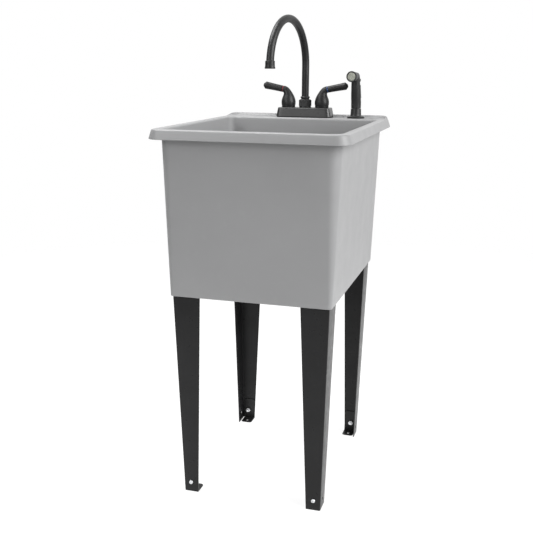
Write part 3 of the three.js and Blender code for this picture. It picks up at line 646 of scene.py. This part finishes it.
def skirtRings():  # down the outside, round the lower edge and along the underside to the drain
    bottom = tub["skirtBottom"]
    top = tub["skirtTop"][-1][0]
    rings = [wallRing(*step) for step in tub["skirtTop"]]
    rings += [wallRing(blendTo(top, bottom + 1.6, k / 30)) for k in range(1, 31)]
    rings += [wallRing(bottom + z, inset) for z, inset in tub["skirtEdge"]]
    rings += [wallRing(*step) for step in tub["underside"]]
    rings += between(rings[-1], drainRing(70, 511.5), 5)
    rings += [drainRing(*step) for step in tub["underDrain"]]
    return rings


def rearSpace():  # open space behind the bowl, and the window in the rear wall
    wall, window = tub["wall"], tub["window"]
    rings = []
    for z, front in [(z, bowlBack(z) + wall) for z in tub["space"]] + tub["spaceTop"]:
        x, y = wallHalf(z)
        rings.append(roundRect(x - wall, front, y - wall, tub["spaceCorner"], z))
    hole = roundRect(window["x"], window["low"], window["high"], window["radius"], 0, 8, 2)
    return [loft(rings), loft([[Vector((p.x, y, p.y)) for p in hole] for y in window["through"]])]


def legPockets():  # ribs under the floor that hold the leg tops against the skirt
    return [moved(brick(*rib, 0.3), Matrix.Diagonal((sx, sy, 1, 1)))
            for sx in (-1, 1) for sy in (-1, 1) for rib in tub["ribs"]]


def addTub():
    rings = bowlRings()
    rims = rimRings()
    deck = between(rings[-1], rims[0], 4)[:-1]
    shell = meshOf(loft(rings + deck + rims + skirtRings(), True))
    holes = [moved(rod(r, *tub["deckCut"], 48), shift(x, tub["deckY"], 0))
             for x, r in tub["deckHoles"].items()]
    shell = cutWith(shell, rearSpace() + holes)
    shell = cutWith(shell, legPockets(), "UNION")
    addPiece("tubShell", shell, Matrix(), "tubPlastic", "sink", "tub", 32)


addTub()
print("tub made")

# legs and feet

legs = {
    "top": 512, "sheet": 2, "bend": 2.6,
    "cornerTop": (179.7, 239.2), "cornerFoot": (165.4, 224.1),
    "frontTop": 64.3, "frontFoot": 33.8, "sideTop": 66, "sideFoot": 42.6,
    "bolt": (149, 24, 3.5), "sideHole": (203, 21, 4), "ease": 0.3,
}
foot = {
    "inner": 131.5, "outer": 160.5, "height": 57, "reach": 34, "sheet": 2, "gap": 0.35, "bend": 2.2,
    "endCorner": 6, "anchor": 3.5, "anchorBack": 22, "ease": 0.3,
}
corners = {"front_left": (-1, -1), "front_right": (1, -1), "rear_left": (-1, 1), "rear_right": (1, 1)}
legLean = degrees(atan2(legs["cornerTop"][1] - legs["cornerFoot"][1], tub["skirtBottom"]))
plateBack = legs["cornerFoot"][1] - legs["sheet"] - foot["gap"]
plateMiddle = (foot["inner"] + foot["outer"]) / 2


def legShape():
    sheet, top, ease = legs["sheet"], legs["top"], legs["ease"]
    levels = [0, 0.35] + [blendTo(0.35, top - 0.35, k / 26) for k in range(1, 27)] + [top]
    rings = []
    for i, z in enumerate(levels):
        inset = ease if i in (0, len(levels) - 1) else 0
        share = z / tub["skirtBottom"]
        cx, cy = (blendTo(a, b, share) for a, b in zip(legs["cornerFoot"], legs["cornerTop"]))
        frontEnd = cx - blendTo(legs["frontFoot"], legs["frontTop"], share) + inset
        sideEnd = cy - blendTo(legs["sideFoot"], legs["sideTop"], share) + inset
        innerX, innerY = cx - sheet + inset, cy - sheet + inset
        outline = outlineOf([
            (cx - inset, sideEnd, 0.4), (cx - inset, cy - inset, legs["bend"]), (frontEnd, cy - inset, 0.4),
            (frontEnd, innerY, 0.4), (innerX, innerY, 0.7), (innerX, sideEnd, 0.4),
        ])
        rings.append([Vector((p.x, p.y, z)) for p in outline])
    return loft(rings)


def boltSeat():  # where the screw goes through the leg's front
    x, z, _ = legs["bolt"]
    return shift(x, blendTo(legs["cornerFoot"][1], legs["cornerTop"][1], z / tub["skirtBottom"]), z)


def boltHole():
    return moved(rod(legs["bolt"][2], -14, 8, 32), boltSeat() @ turnAbout("X", -90 - legLean))


def sideHole():
    y, z, radius = legs["sideHole"]
    return moved(rod(radius, 150, 175, 32), shift(0, y, z) @ turnAbout("Y", 90))


def anchorHole():
    return moved(rod(foot["anchor"], -5, 6, 32), shift(plateMiddle, plateBack - foot["anchorBack"], 0))


def footPlateShape():  # sole on the floor, bent up behind the leg's front, with rounded ends
    sheet, bend, corner, ease = foot["sheet"], foot["bend"], foot["endCorner"], foot["ease"]
    toe, heel = plateBack - foot["reach"], plateBack - bend
    lean = tan(radians(legLean))
    path = [(blendTo(toe, heel - sheet, k / 6), 0.0) for k in range(7)]
    path += [(heel + bend * up, bend - bend * out) for _, up, out in quarterTurn(8)]
    path += [(plateBack + lean * z, z)
             for z in (blendTo(bend + 1, foot["height"], k / 8) for k in range(1, 9))]
    lengths = [0.0]
    for a, b in zip(path, path[1:]):
        lengths.append(lengths[-1] + dist(a, b))
    total = lengths[-1]
    rounded = [corner * (1 - cos(radians(90 * k / 6))) for k in range(7)]
    stations = rounded + [s for s in lengths if corner + 0.2 < s < total - corner - 0.2]
    stations += [total - s for s in reversed(rounded)]
    rings = []
    for s in stations:
        i = max(k for k in range(len(lengths) - 1) if lengths[k] <= s + 1e-9)
        t = (s - lengths[i]) / (lengths[i + 1] - lengths[i])
        y, z = (blendTo(a, b, t) for a, b in zip(path[i], path[i + 1]))
        dy, dz = (b - a for a, b in zip(path[i], path[i + 1]))
        size = hypot(dy, dz)
        edge = min(s, total - s)
        cut = corner - sqrt(max(corner ** 2 - (corner - edge) ** 2, 0)) if edge < corner else 0.0
        half = max((foot["outer"] - foot["inner"]) / 2 - cut, 0.5)
        section = [(-half, ease), (ease - half, 0), (half - ease, 0), (half, ease), (half, sheet - ease),
                   (half - ease, sheet), (ease - half, sheet), (-half, sheet - ease)]
        rings.append([Vector((plateMiddle + u, y - dz / size * v, z + dy / size * v)) for u, v in section])
    return loft(rings)


bolt = {"shank": 3, "length": 15, "head": 4.9, "headHeight": 3.8, "recess": 2.5, "recessWidth": 1.2}


def boltShape():  # pan head with its shank along -Z
    r, high = bolt["head"], bolt["headHeight"]
    head = lathe([(0, 0.3), (r, 0.3, 0.3), (r, 1.5, 0.8), (r - 0.9, high - 0.6, 1.4), (0, high)], 48)
    return head, threaded(bolt["shank"], 0.35, 1.0, -bolt["length"], 0.3, 24)


def crossRecess():  # two arms that narrow towards the bottom
    half, width = bolt["recess"], bolt["recessWidth"] / 2
    arm = loft([[Vector((x, y, z)) for x, y in ((half, -w), (half, w), (-half, w), (-half, -w))]
                for z, w in ((2.2, width * 0.8), (5, width * 1.2))])
    return [arm, moved(arm, turnAbout("Z", 90))]


def hexNut(radius, low, high, chamfer, bore=0, sides=6):  # prism with its corners turned off at both ends
    prism = loft([circle(radius, z, sides) for z in (low, high)])
    face, rim = radius - chamfer * 1.6, radius + 0.4
    cone = lathe([(0, low), (face, low), (rim, low + chamfer * 1.2),
                  (rim, high - chamfer * 1.2), (face, high), (0, high)], 64)
    mesh = cutWith(meshOf(prism), [cone], "INTERSECT")
    return cutWith(mesh, [rod(bore, low - 1, high + 1)]) if bore else mesh


def addLegs():
    leg = cutWith(meshOf(legShape()), [boltHole(), sideHole()])
    plate = cutWith(meshOf(footPlateShape()), [anchorHole(), boltHole()])
    head, shank = boltShape()
    screw = cutWith(cutWith(meshOf(head), crossRecess()), [shank], "UNION")
    nut = hexNut(6.4, 0, 5, 0.7, 3.35)
    seat = boltSeat() @ turnAbout("X", -legLean)
    screwPlace = seat @ turnAbout("X", -90)
    nutPlace = seat @ shift(0, -2 * (legs["sheet"] + foot["gap"]), 0) @ turnAbout("X", 90)
    for corner, (sx, sy) in corners.items():
        mirror = Matrix.Diagonal((sx, sy, 1, 1))
        addPiece("leg_" + corner + "_panel", leg, mirror, "powderCoat", "sink", "leg_" + corner)
        addPiece("foot_plate_" + corner, plate, mirror, "powderCoat", "sink", "foot_bracket_" + corner)
        addPiece("foot_screw_" + corner, screw, mirror @ screwPlace, "zinc", "sink", "foot_bolt_" + corner)
        addPiece("foot_hex_nut_" + corner, nut, mirror @ nutPlace, "zinc", "sink", "foot_nut_" + corner)


addLegs()
print("legs and feet made")

# waste

waste = {"seat": 515.75, "under": 510.75, "end": 470, "tailEnd": 428}


def addWaste():
    place = shift(*tub["drain"], 0)
    seat, under, end, tailEnd = waste["seat"], waste["under"], waste["end"], waste["tailEnd"]
    body = lathe([
        (18, end), (23.6, end, 0.6), (23.6, seat), (38, seat), (38, seat + 1.4, 0.5), (36, seat + 2.2, 1.2),
        (24, seat + 1.5, 2.5), (21, seat - 4, 2), (21, seat - 14, 1), (18, seat - 16), (18, end),
    ], 96)
    addPiece("waste_flange", body, place, "stainless", "sink", "drain_body")
    gasket = sleeve(24.2, 37, under - 3, under, 0.8)
    addPiece("waste_gasket", gasket, place, "rubber", "sink", "drain_gasket")

    low, top = under - 13, under - 3.35
    lugs = around(brick(30, 36, -4, 4, low, top, 0.7), 6)
    locknut = cutWith(meshOf(sleeve(24.1, 31, low, top, 0.8)), lugs, "UNION")
    addPiece("waste_locknut", locknut, place, "whitePlastic", "sink", "drain_locknut")

    cup = meshOf(lathe([
        (0, seat - 12), (19.5, seat - 12, 1.5), (20.4, seat - 3, 2), (21.6, seat + 2, 0.4),
        (20.4, seat + 2.3, 0.4), (18.6, seat - 9.6, 1.6), (4, seat - 9.6, 1), (3, seat - 4, 1),
        (5.5, seat - 1, 0.9), (5.5, seat + 1.4, 0.9), (0, seat + 2.4),
    ], 72))
    slot = outlineOf([(8, -1.1, 0.9), (16, -1.1, 0.9), (16, 1.1, 0.9), (8, 1.1, 0.9)])
    slots = around(loft([[Vector((p.x, p.y, z)) for p in slot] for z in (seat - 14, seat - 8)]), 12)
    addPiece("strainer_cup", cutWith(cup, slots), place, "stainless", "strainer", "drain_strainer")

    flange = end - 2.75
    pipe = lathe([
        (17, tailEnd), (19, tailEnd, 0.5), (19, flange - 2.5), (22.8, flange - 2.5), (22.8, flange, 0.5),
        (17, flange), (17, tailEnd),
    ], 72)
    addPiece("waste_tailpiece", pipe, place, "whitePlastic", "sink", "tailpiece")
    nut = meshOf(lathe([
        (24.2, flange - 2.9), (19.5, flange - 2.9), (19.5, flange - 7), (25.6, flange - 7, 1.2),
        (25.6, flange + 14, 1.2), (24.2, flange + 14), (24.2, flange - 2.9),
    ], 96))
    grips = around(brick(24.9, 27.9, -2.2, 2.2, flange - 5.5, flange + 12.5, 0.8), 12)
    addPiece("waste_slip_nut", cutWith(nut, grips, "UNION"), place, "whitePlastic", "sink", "tailpiece_nut")
    keepNode("tailpiece_washer", "rubber")


addWaste()
print("waste made")

# tap

tap = {
    "handleX": 44.5, "leverRise": 10.9, "neck": (13.7, 927.7), "screwZ": 902,
    "yaw": 8, "spoutRadius": 9.3, "spoutBore": 7, "spoutFoot": 872,
    "arch": 111, "archCentre": 987.35, "mouthCentre": 988.5,
}
tapPlace = shift(0, tub["deckY"], 0)
handleSides = {"hot": -1, "cold": 1}

cover = {  # an outline is its half length, half depth and corner
    "low": 859.2, "top": 881.5, "round": 2.4, "roundIn": 2.2, "crown": 0.25, "skin": 3,
    "footEdge": (72.2, 27.2, 10.8), "foot": (72.5, 27.5, 11), "shoulder": (68.4, 25.0, 9.3),
    "hollowTop": (65.4, 21.8, 6), "hollowFoot": (69.7, 24.7, 8), "holes": (12.4, 13.4, 12.4),
    "pad": (71.5, 26.5, 10), "padLow": 857.3, "padHigh": 858.9, "padHoles": (12, 8, 12),
}


def besideSpout(side):
    return shift(side * tap["handleX"], 0, 0)


def coverRing(outline, z, inset=0.0):
    x, y, radius = (side - inset for side in outline)
    return roundRect(x, -y, y, radius, z, 8, 10)


def tapHoles(radii, low, high, sides):  # for the hot side, the spout and the cold side
    return [moved(rod(r, low, high, sides), besideSpout(side)) for side, r in zip((-1, 0, 1), radii)]


def addCover():
    low, top = cover["low"], cover["top"]
    shoulderZ = top - cover["round"]
    rings = [coverRing(cover["footEdge"], low), coverRing(cover["foot"], low + 0.4)]
    rings += between(rings[-1], coverRing(cover["shoulder"], shoulderZ), 6)
    for _, up, out in quarterTurn(7):
        inset = cover["roundIn"] * (1 - out) + cover["crown"] * up
        rings.append(coverRing(cover["shoulder"], shoulderZ + cover["round"] * up, inset))
    hollow = [coverRing(cover["hollowTop"], top - cover["skin"]), coverRing(cover["hollowFoot"], low - 1)]
    shell = cutWith(meshOf(loft(rings)), [loft(hollow)] + tapHoles(cover["holes"], 870, 890, 48))
    addPiece("tap_escutcheon", shell, tapPlace, "blackPlastic", "sink", "tap_cover")
    pad = meshOf(loft([coverRing(cover["pad"], cover[end]) for end in ("padLow", "padHigh")]))
    pad = cutWith(pad, tapHoles(cover["padHoles"], 850, 870, 40))
    addPiece("tap_foam_pad", pad, tapPlace, "rubber", "sink", "tap_gasket")


waterway = {
    "cross": 6.5, "crossZ": 868,
    "socket": [(0, 861), (13, 861, 0.6), (13, 880, 0.5), (12.4, 880), (12.4, 896, 0.4), (0, 896)],
    "shank": {"radius": 10, "depth": 0.75, "pitch": 1.8, "low": 812, "high": 861, "sides": 36},
    "stub": {"radius": 6, "depth": 0.5, "pitch": 1.4, "low": 838, "high": 862, "sides": 28},
    "seat": (12, 860.5, 884), "spoutBore": (11.05, 871.5, 897), "stubBore": (2.5, 830, 868),
    "shankBore": [
        (0, 805), (6, 805), (6, 869), (4.5, 869), (4.5, 873), (8.8, 873), (8.8, 885), (0, 885),
    ],
}


def addWaterway():  # cast body inside the cover, on two threaded shanks
    reach = tap["handleX"]
    cross = moved(rod(waterway["cross"], -reach, reach), shift(0, 0, waterway["crossZ"]) @ turnAbout("Y", 90))
    solids = [cross, threaded(**waterway["stub"])]
    bores = [rod(*waterway["spoutBore"]), rod(*waterway["stubBore"], 24)]
    for place in (besideSpout(side) for side in handleSides.values()):
        solids.append(moved(threaded(**waterway["shank"]), place))
        solids.append(moved(rod(*waterway["seat"], 48, 0.5), place))
        bores.append(moved(lathe(waterway["shankBore"], 40), place))
    body = cutWith(meshOf(lathe(waterway["socket"], 48)), solids, "UNION")
    addPiece("tap_cast_waterway", cutWith(body, bores), tapPlace, "brass", "sink", "tap_waterway")
    nut = meshOf(lathe([
        (10.35, 838), (13.5, 838, 0.8), (13.5, 848), (16.6, 848, 0.6), (16.6, 851.4, 0.6), (10.35, 851.4),
        (10.35, 838),
    ], 64))
    nut = cutWith(nut, around(brick(12.6, 16.4, -1.7, 1.7, 838.2, 849, 0.6), 4), "UNION")
    for name, side in handleSides.items():
        place = tapPlace @ besideSpout(side)
        addPiece("mounting_nut_" + name, nut, place, "whitePlastic", "sink", "tap_mounting_nut_" + name)


bell = {
    "skin": [  # centre x, height, radius and lean, for the right-hand side
        (0, 882, 16.9, 0), (0, 886, 17.7, 0), (0, 890, 18.3, 0), (0, 895, 18.5, 0), (0.1, 901, 17.7, 0),
        (0.6, 908, 15.3, 5), (1.9, 914.8, 12.2, 13), (4.1, 920.4, 10, 27), (7.1, 924.6, 9, 47),
        (10.6, 926.8, 8.6, 67), (13.7, 927.7, 8.3, 79.1),
    ],
    "inside": [(0.01, 907.5), (4, 907.5), (4, 897.5), (11.5, 897.5), (13, 893), (13, 881.8), (16.5, 881.7)],
    "foot": [
        (17.0, 881.8), (17.3, 883.0), (17.7, 885.8), (17.3, 886.2), (17.1, 886.5), (17.2, 886.8),
        (17.9, 887.2),
    ],
    "neckEnd": [(8.3, -0.02), (8.0, 0.12), (3.4, 0.12), (3.4, -9), (0.01, -9)],  # radius, distance along it
    "lever": [
        (0, -7), (3, -7), (3, 2.3), (8.2, 2.3, 0.35), (8.4, 16, 60), (8.8, 32, 60), (9.4, 46, 30),
        (9.4, 49, 0.8), (3.8, 54.4, 0.8), (0, 55),
    ],
}
onNeck = shift(tap["neck"][0], 0, tap["neck"][1]) @ turnAbout("Y", 90 - tap["leverRise"])


def smoothStations(stations, finer=5):  # smooth curve through the stations
    stations = [Vector(station) for station in stations]
    last = len(stations) - 1
    result = []
    for i in range(last):
        p0, p1, p2, p3 = (stations[min(max(k, 0), last)] for k in (i - 1, i, i + 1, i + 2))
        for k in range(finer):
            t = k / finer
            result.append(0.5 * (2 * p1 + (p2 - p0) * t + (2 * p0 - 5 * p1 + 4 * p2 - p3) * t * t
                                 + (3 * p1 - p0 - 3 * p2 + p3) * t ** 3))
    return result + [stations[last]]


def handleMesh():
    sides = 72
    rings = [circle(r, z, sides) for r, z in bell["inside"] + bell["foot"]]
    rings += [circle(r, z, sides, x, 0, lean) for x, z, r, lean in smoothStations(bell["skin"])
              if z > bell["foot"][-1][1] + 0.2]
    axis = 90 - tap["leverRise"]
    along = Vector((sin(radians(axis)), 0, cos(radians(axis))))
    for radius, depth in bell["neckEnd"]:
        centre = Vector((tap["neck"][0], 0, tap["neck"][1])) + along * depth
        rings.append(circle(radius, centre.z, sides, centre.x, 0, axis))
    screwHole = moved(rod(2.2, 3, 20, 24), shift(0, 0, tap["screwZ"]) @ turnAbout("X", -90))
    return cutWith(meshOf(loft(rings)), [screwHole])


def addHandles():
    handle = handleMesh()
    lever = meshOf(moved(lathe(bell["lever"], 64), onNeck))
    ring = meshOf(moved(sleeve(3.4, 8.2, 0.35, 2.1, 0.3, 64), onNeck))
    screw = meshOf(lathe([(0, 0), (1.8, 0, 0.2), (1.8, 7.5, 0.3), (0, 7.5)], 32))
    screw = cutWith(screw, [loft([circle(0.95, h, 6) for h in (5.2, 8.4)])])
    screw = placedCopy(screw, shift(0, 3.9, tap["screwZ"]) @ turnAbout("X", -90))
    for name, ringFinish in (("hot", "redRing"), ("cold", "blueRing")):
        side = handleSides[name]
        place = tapPlace @ besideSpout(side) @ Matrix.Diagonal((side, 1, 1, 1))
        body = name + "_tap_handle"
        addPiece(name + "_bell", handle, place, "blackMetal", body, name + "_handle", 50)
        addPiece(name + "_lever_rod", lever, place, "blackMetal", body, name + "_lever", 30)
        addPiece(name + "_ring", ring, place, ringFinish, body, name + "_index_ring", 50)
        addPiece(name + "_grub_screw", screw, place, "stainless", body, name + "_set_screw")
        keepNode(name + "_stem", "brass")
        keepNode(name + "_bonnet_nut", "blackMetal")
        keepNode(name + "_cartridge", "whitePlastic")


def addSpout():
    place = tapPlace @ turnAbout("Z", -tap["yaw"])
    arch, centreZ = tap["arch"], tap["archCentre"]
    centres = [Vector((0, 0, blendTo(tap["spoutFoot"], centreZ, k / 12))) for k in range(12)]
    tangents = [Vector((0, 0, 1))] * 12
    for k in range(73):
        angle = pi * k / 72
        centres.append(Vector((0, arch * (cos(angle) - 1), centreZ + arch * sin(angle))))
        tangents.append(Vector((0, -sin(angle), cos(angle))))
    outer, inner = (sweep(circle(tap[size], 0, 48), centres, tangents, Vector((1, 0, 0)))
                    for size in ("spoutRadius", "spoutBore"))
    addPiece("gooseneck", loft(outer + inner[::-1], True), place, "blackMetal", "swivel_spout", "spout", 50)
    collar = lathe([
        (9.65, 903), (10.7, 903, 0.3), (10.7, 905.1, 0.5), (12, 905.9, 0.3), (12, 908.4, 0.7),
        (10.9, 909.8, 0.4), (9.65, 909.8), (9.65, 903),
    ], 64)
    addPiece("spout_ferrule", collar, place, "blackMetal", "swivel_spout", "spout_collar")
    keepNode("spout_o_ring", "rubber")

    mouth = place @ shift(0, -2 * arch, centreZ - tap["mouthCentre"])
    housing = lathe([
        (10.2, 981.8), (12.4, 981.8, 0.5), (12.4, 984.6, 0.8), (11.7, 986.6, 1.5), (11.4, 990.5, 2),
        (11.4, 999.2, 0.7), (10.4, 1000, 0.2), (10.4, 990), (10.2, 988), (10.2, 981.8),
    ], 72)
    addPiece("aerator_cap", housing, mouth, "blackMetal", "swivel_spout", "aerator_housing")
    disc = meshOf(rod(9.8, 983.6, 987.6, 48, 0.3))
    pores = [(x * 2.1 + (row % 2) * 1.05, row * 1.85) for row in range(-4, 5) for x in range(-5, 5)]
    pore = loft([circle(0.62, z, 12) for z in (980, 990)])
    disc = cutWith(disc, [moved(pore, shift(x, y, 0)) for x, y in pores if hypot(x, y) < 8.2])
    addPiece("aerator_grid", disc, mouth, "whitePlastic", "swivel_spout", "aerator_screen")

    nut = cutWith(hexNut(16.8, 883.2, 902.5, 2.6), [rod(15.4, 881.7, 884.4, 64, 0.4)], "UNION")
    bore = lathe([(0, 881), (12.8, 881), (12.8, 898), (9.75, 898), (9.75, 904), (0, 904)], 48)
    nut = cutWith(nut, [bore])
    addPiece("spout_hex_nut", nut, tapPlace, "blackMetal", "sink", "spout_nut", 25)


addCover()
addWaterway()
addHandles()
addSpout()
print("tap made")

# side spray

spray = {
    "x": 134, "yaw": 7.5, "headZ": 961.5, "reach": 38, "pivot": (5.3, 952), "plungerZ": 930,
    "lean": 0.0863, "bendStart": 882, "bendLength": 20, "barbLow": 832,
    "jets": [(3.3, 6, 0), (6.3, 12, 15)],  # circle's radius, number of holes and first angle
    "grip": [(0, 882, 12.4), (0, 897, 12.6), (-1.5, 912, 12.3), (-2.4, 930, 11.7), (-3.1, 945, 11.1),
             (-3.2, 956, 10.8), (-3.5, 965, 9.8), (-4.5, 970, 7)],
}


def leanAt(z):  # forward lean of the grip: straight in the holder, then bent, then straight again
    above = max(z - spray["bendStart"], 0)
    length = spray["bendLength"]
    bent = above ** 2 / (2 * length) if above < length else above - length / 2
    return -spray["lean"] * bent


holderPlace = shift(spray["x"], tub["deckY"], 0)
sprayPlace = holderPlace @ turnAbout("Z", -spray["yaw"])
nozzle = shift(0, leanAt(spray["headZ"]), spray["headZ"]) @ turnAbout("X", 90)


def addHolder():
    holder = lathe([
        (8.9, 826), (12, 826, 0.4), (12, 859.6), (22.6, 859.6, 0.3), (22.6, 860.7, 0.4), (19, 861.9, 4),
        (14.6, 862.9, 1.5), (13.6, 866.5, 6), (13.0, 881, 0.6), (9.6, 881, 0.3), (9.2, 878), (8.9, 826),
    ], 72)
    addPiece("spray_escutcheon", holder, holderPlace, "gripPlastic", "sink", "sprayer_holder")
    washer = sleeve(12.4, 21.5, 857.3, 859.2, 0.3, 64)
    addPiece("spray_washer", washer, holderPlace, "rubber", "sink", "sprayer_holder_gasket")
    nut = hexNut(17, 840, 851.4, 0.8, 12.4, 8)
    addPiece("spray_locknut", nut, holderPlace, "whitePlastic", "sink", "sprayer_holder_nut")


def gripShape():
    sides = 64
    rings = [circle(r, z, sides) for r, z in ((8.3, 848.2), (8.4, 848.4), (8.4, 881.9), (12.1, 882))]
    stations = [(y + leanAt(z), z, r) for y, z, r in smoothStations(spray["grip"])]
    rings += [circle(r, z, sides, 0, y) for y, z, r in stations]
    rings += [circle(r, z, sides, 0, stations[-1][0]) for r, z in ((5.2, 970.9), (2.6, 971.3), (0.01, 971.4))]
    return loft(rings)


def triggerLugs():  # cheeks on both sides of the trigger, which hold its pin
    y, z = spray["pivot"]
    front, low, high = y + 2.6, z - 3.6, z + 3.6
    cheek = outlineOf([(-5, low, 0.5), (front, low, 3.5), (front, high, 3.5), (-5, high, 0.5)])
    return [loft([[Vector((x, p.x, p.y)) for p in cheek] for x in ends])
            for ends in ((-8.2, -5.4), (5.4, 8.2))]


def addHandset():
    reach, valve = spray["reach"], spray["plungerZ"]
    y, z = spray["pivot"]
    acrossPivot = shift(0, y, z) @ turnAbout("Y", 90)
    head = moved(lathe([
        (0, -5), (6, -4.6, 2.5), (9.6, -0.5, 4), (10.6, 8, 8), (11.8, 22, 20), (13.1, reach - 3.4, 1.5),
        (13.1, reach - 2.4, 0.2), (0, reach - 2.4),
    ], 72), nozzle)
    slot = brick(-5.4, 5.4, 0, 20, z - 10, z + 12, 0.1)
    mouth = moved(rod(9.5, reach - 8, reach, 48), nozzle)
    plungerBore = moved(rod(2.6, -2, 13, 24), shift(0, leanAt(valve), valve) @ turnAbout("X", -90))
    body = cutWith(meshOf(gripShape()), [head], "UNION")
    body = cutWith(body, [slot, mouth, plungerBore, rod(3, 846, 870, 24)])
    body = cutWith(body, triggerLugs(), "UNION")
    body = cutWith(body, [moved(rod(1.3, -10, 10, 20), acrossPivot)])
    addPiece("spray_grip", body, sprayPlace, "gripPlastic", "spray_handset", "sprayer_body", 40)

    ring = moved(lathe([
        (10.7, reach - 2), (13.4, reach - 2, 0.3), (13.4, reach, 0.7), (10.7, reach, 0.3),
        (10.7, reach - 2),
    ], 72), nozzle)
    addPiece("spray_rim", ring, sprayPlace, "gripPlastic", "spray_handset", "sprayer_face_ring")
    face = meshOf(lathe([
        (0, reach - 2), (10.3, reach - 2), (10.3, reach - 0.7, 0.4), (8.6, reach - 0.3, 1.5),
        (0, reach - 0.5),
    ], 72))
    jet = loft([circle(0.55, h, 10) for h in (30, 45)])
    jets = [around(moved(jet, shift(radius, 0, 0)), count, start) for radius, count, start in spray["jets"]]
    face = cutWith(face, sum(jets, []))
    addPiece("spray_plate", face, sprayPlace @ nozzle, "sprayFace", "spray_handset", "sprayer_face")
    pin = moved(rod(1, -8, 8, 24, 0.2), acrossPivot)
    addPiece("spray_pivot_pin", pin, sprayPlace, "stainless", "spray_handset", "sprayer_trigger_pin")
    low = spray["barbLow"]
    barbs = [(2.6, low)]
    for k in range(4):
        barbs += [(4.0, low + 2.6 * k + 0.01), (5.0, low + 2.6 * k + 1.6)]
    barbs += [(4.2, 842.5), (5.0, 844), (5.0, 847.6, 0.3), (2.6, 847.6), (2.6, low)]
    nipple = lathe(barbs, 40)
    addPiece("spray_hose_barb", nipple, sprayPlace, "brass", "spray_handset", "sprayer_hose_nipple")


trigger = {"paddleHalf": 7.4, "stemHalf": 4.9, "ease": 0.35, "paddleLow": 900, "paddleHigh": 940}


def triggerSide():  # side outline in (y, z)
    y, z = spray["pivot"]

    def curve(start, control, end, steps=8):
        a, b, c = (Vector(corner) for corner in (start, control, end))
        shares = [k / steps for k in range(1, steps + 1)]
        return [a.lerp(b, t).lerp(b.lerp(c, t), t) for t in shares]
    points = [Vector((y - 2.6, z + 1)), Vector((y - 2.2, z - 5)), Vector((8.2, 938))]
    points += curve((8.2, 938), (10.8, 922), (16.3, 907))
    points += curve((16.3, 907), (17.9, 905.9), (18.9, 907.6), 4)
    points += curve((18.9, 907.6), (14, 922), (11.6, 938))
    points += [Vector((y + 3.9, z + 1))]
    points += curve((y + 3.9, z + 1), (y + 3.5, z + 3.6), (y, z + 3.6))
    points += curve((y, z + 3.6), (y - 2.6, z + 3.4), (y - 2.6, z + 1))[:-1]
    return points


def addTrigger():
    y, z = spray["pivot"]
    upright = Matrix(((0, 0, 1), (1, 0, 0), (0, 1, 0))).to_4x4()
    wide, narrow = (moved(slab(triggerSide(), -half, half, trigger["ease"]), upright)
                    for half in (trigger["paddleHalf"], trigger["stemHalf"]))
    lower = brick(-10, 10, 0, 30, trigger["paddleLow"], trigger["paddleHigh"], 0.01)
    lever = cutWith(cutWith(meshOf(wide), [lower], "INTERSECT"), [narrow], "UNION")
    lever = cutWith(lever, [moved(rod(1.35, -10, 10, 20), shift(0, y, z) @ turnAbout("Y", 90))])
    addPiece("spray_squeeze_lever", lever, sprayPlace, "gripPlastic", "spray_trigger", "sprayer_trigger")
    keepNode("sprayer_valve_plunger", "brass")


addHolder()
addHandset()
addTrigger()
print("side spray made")
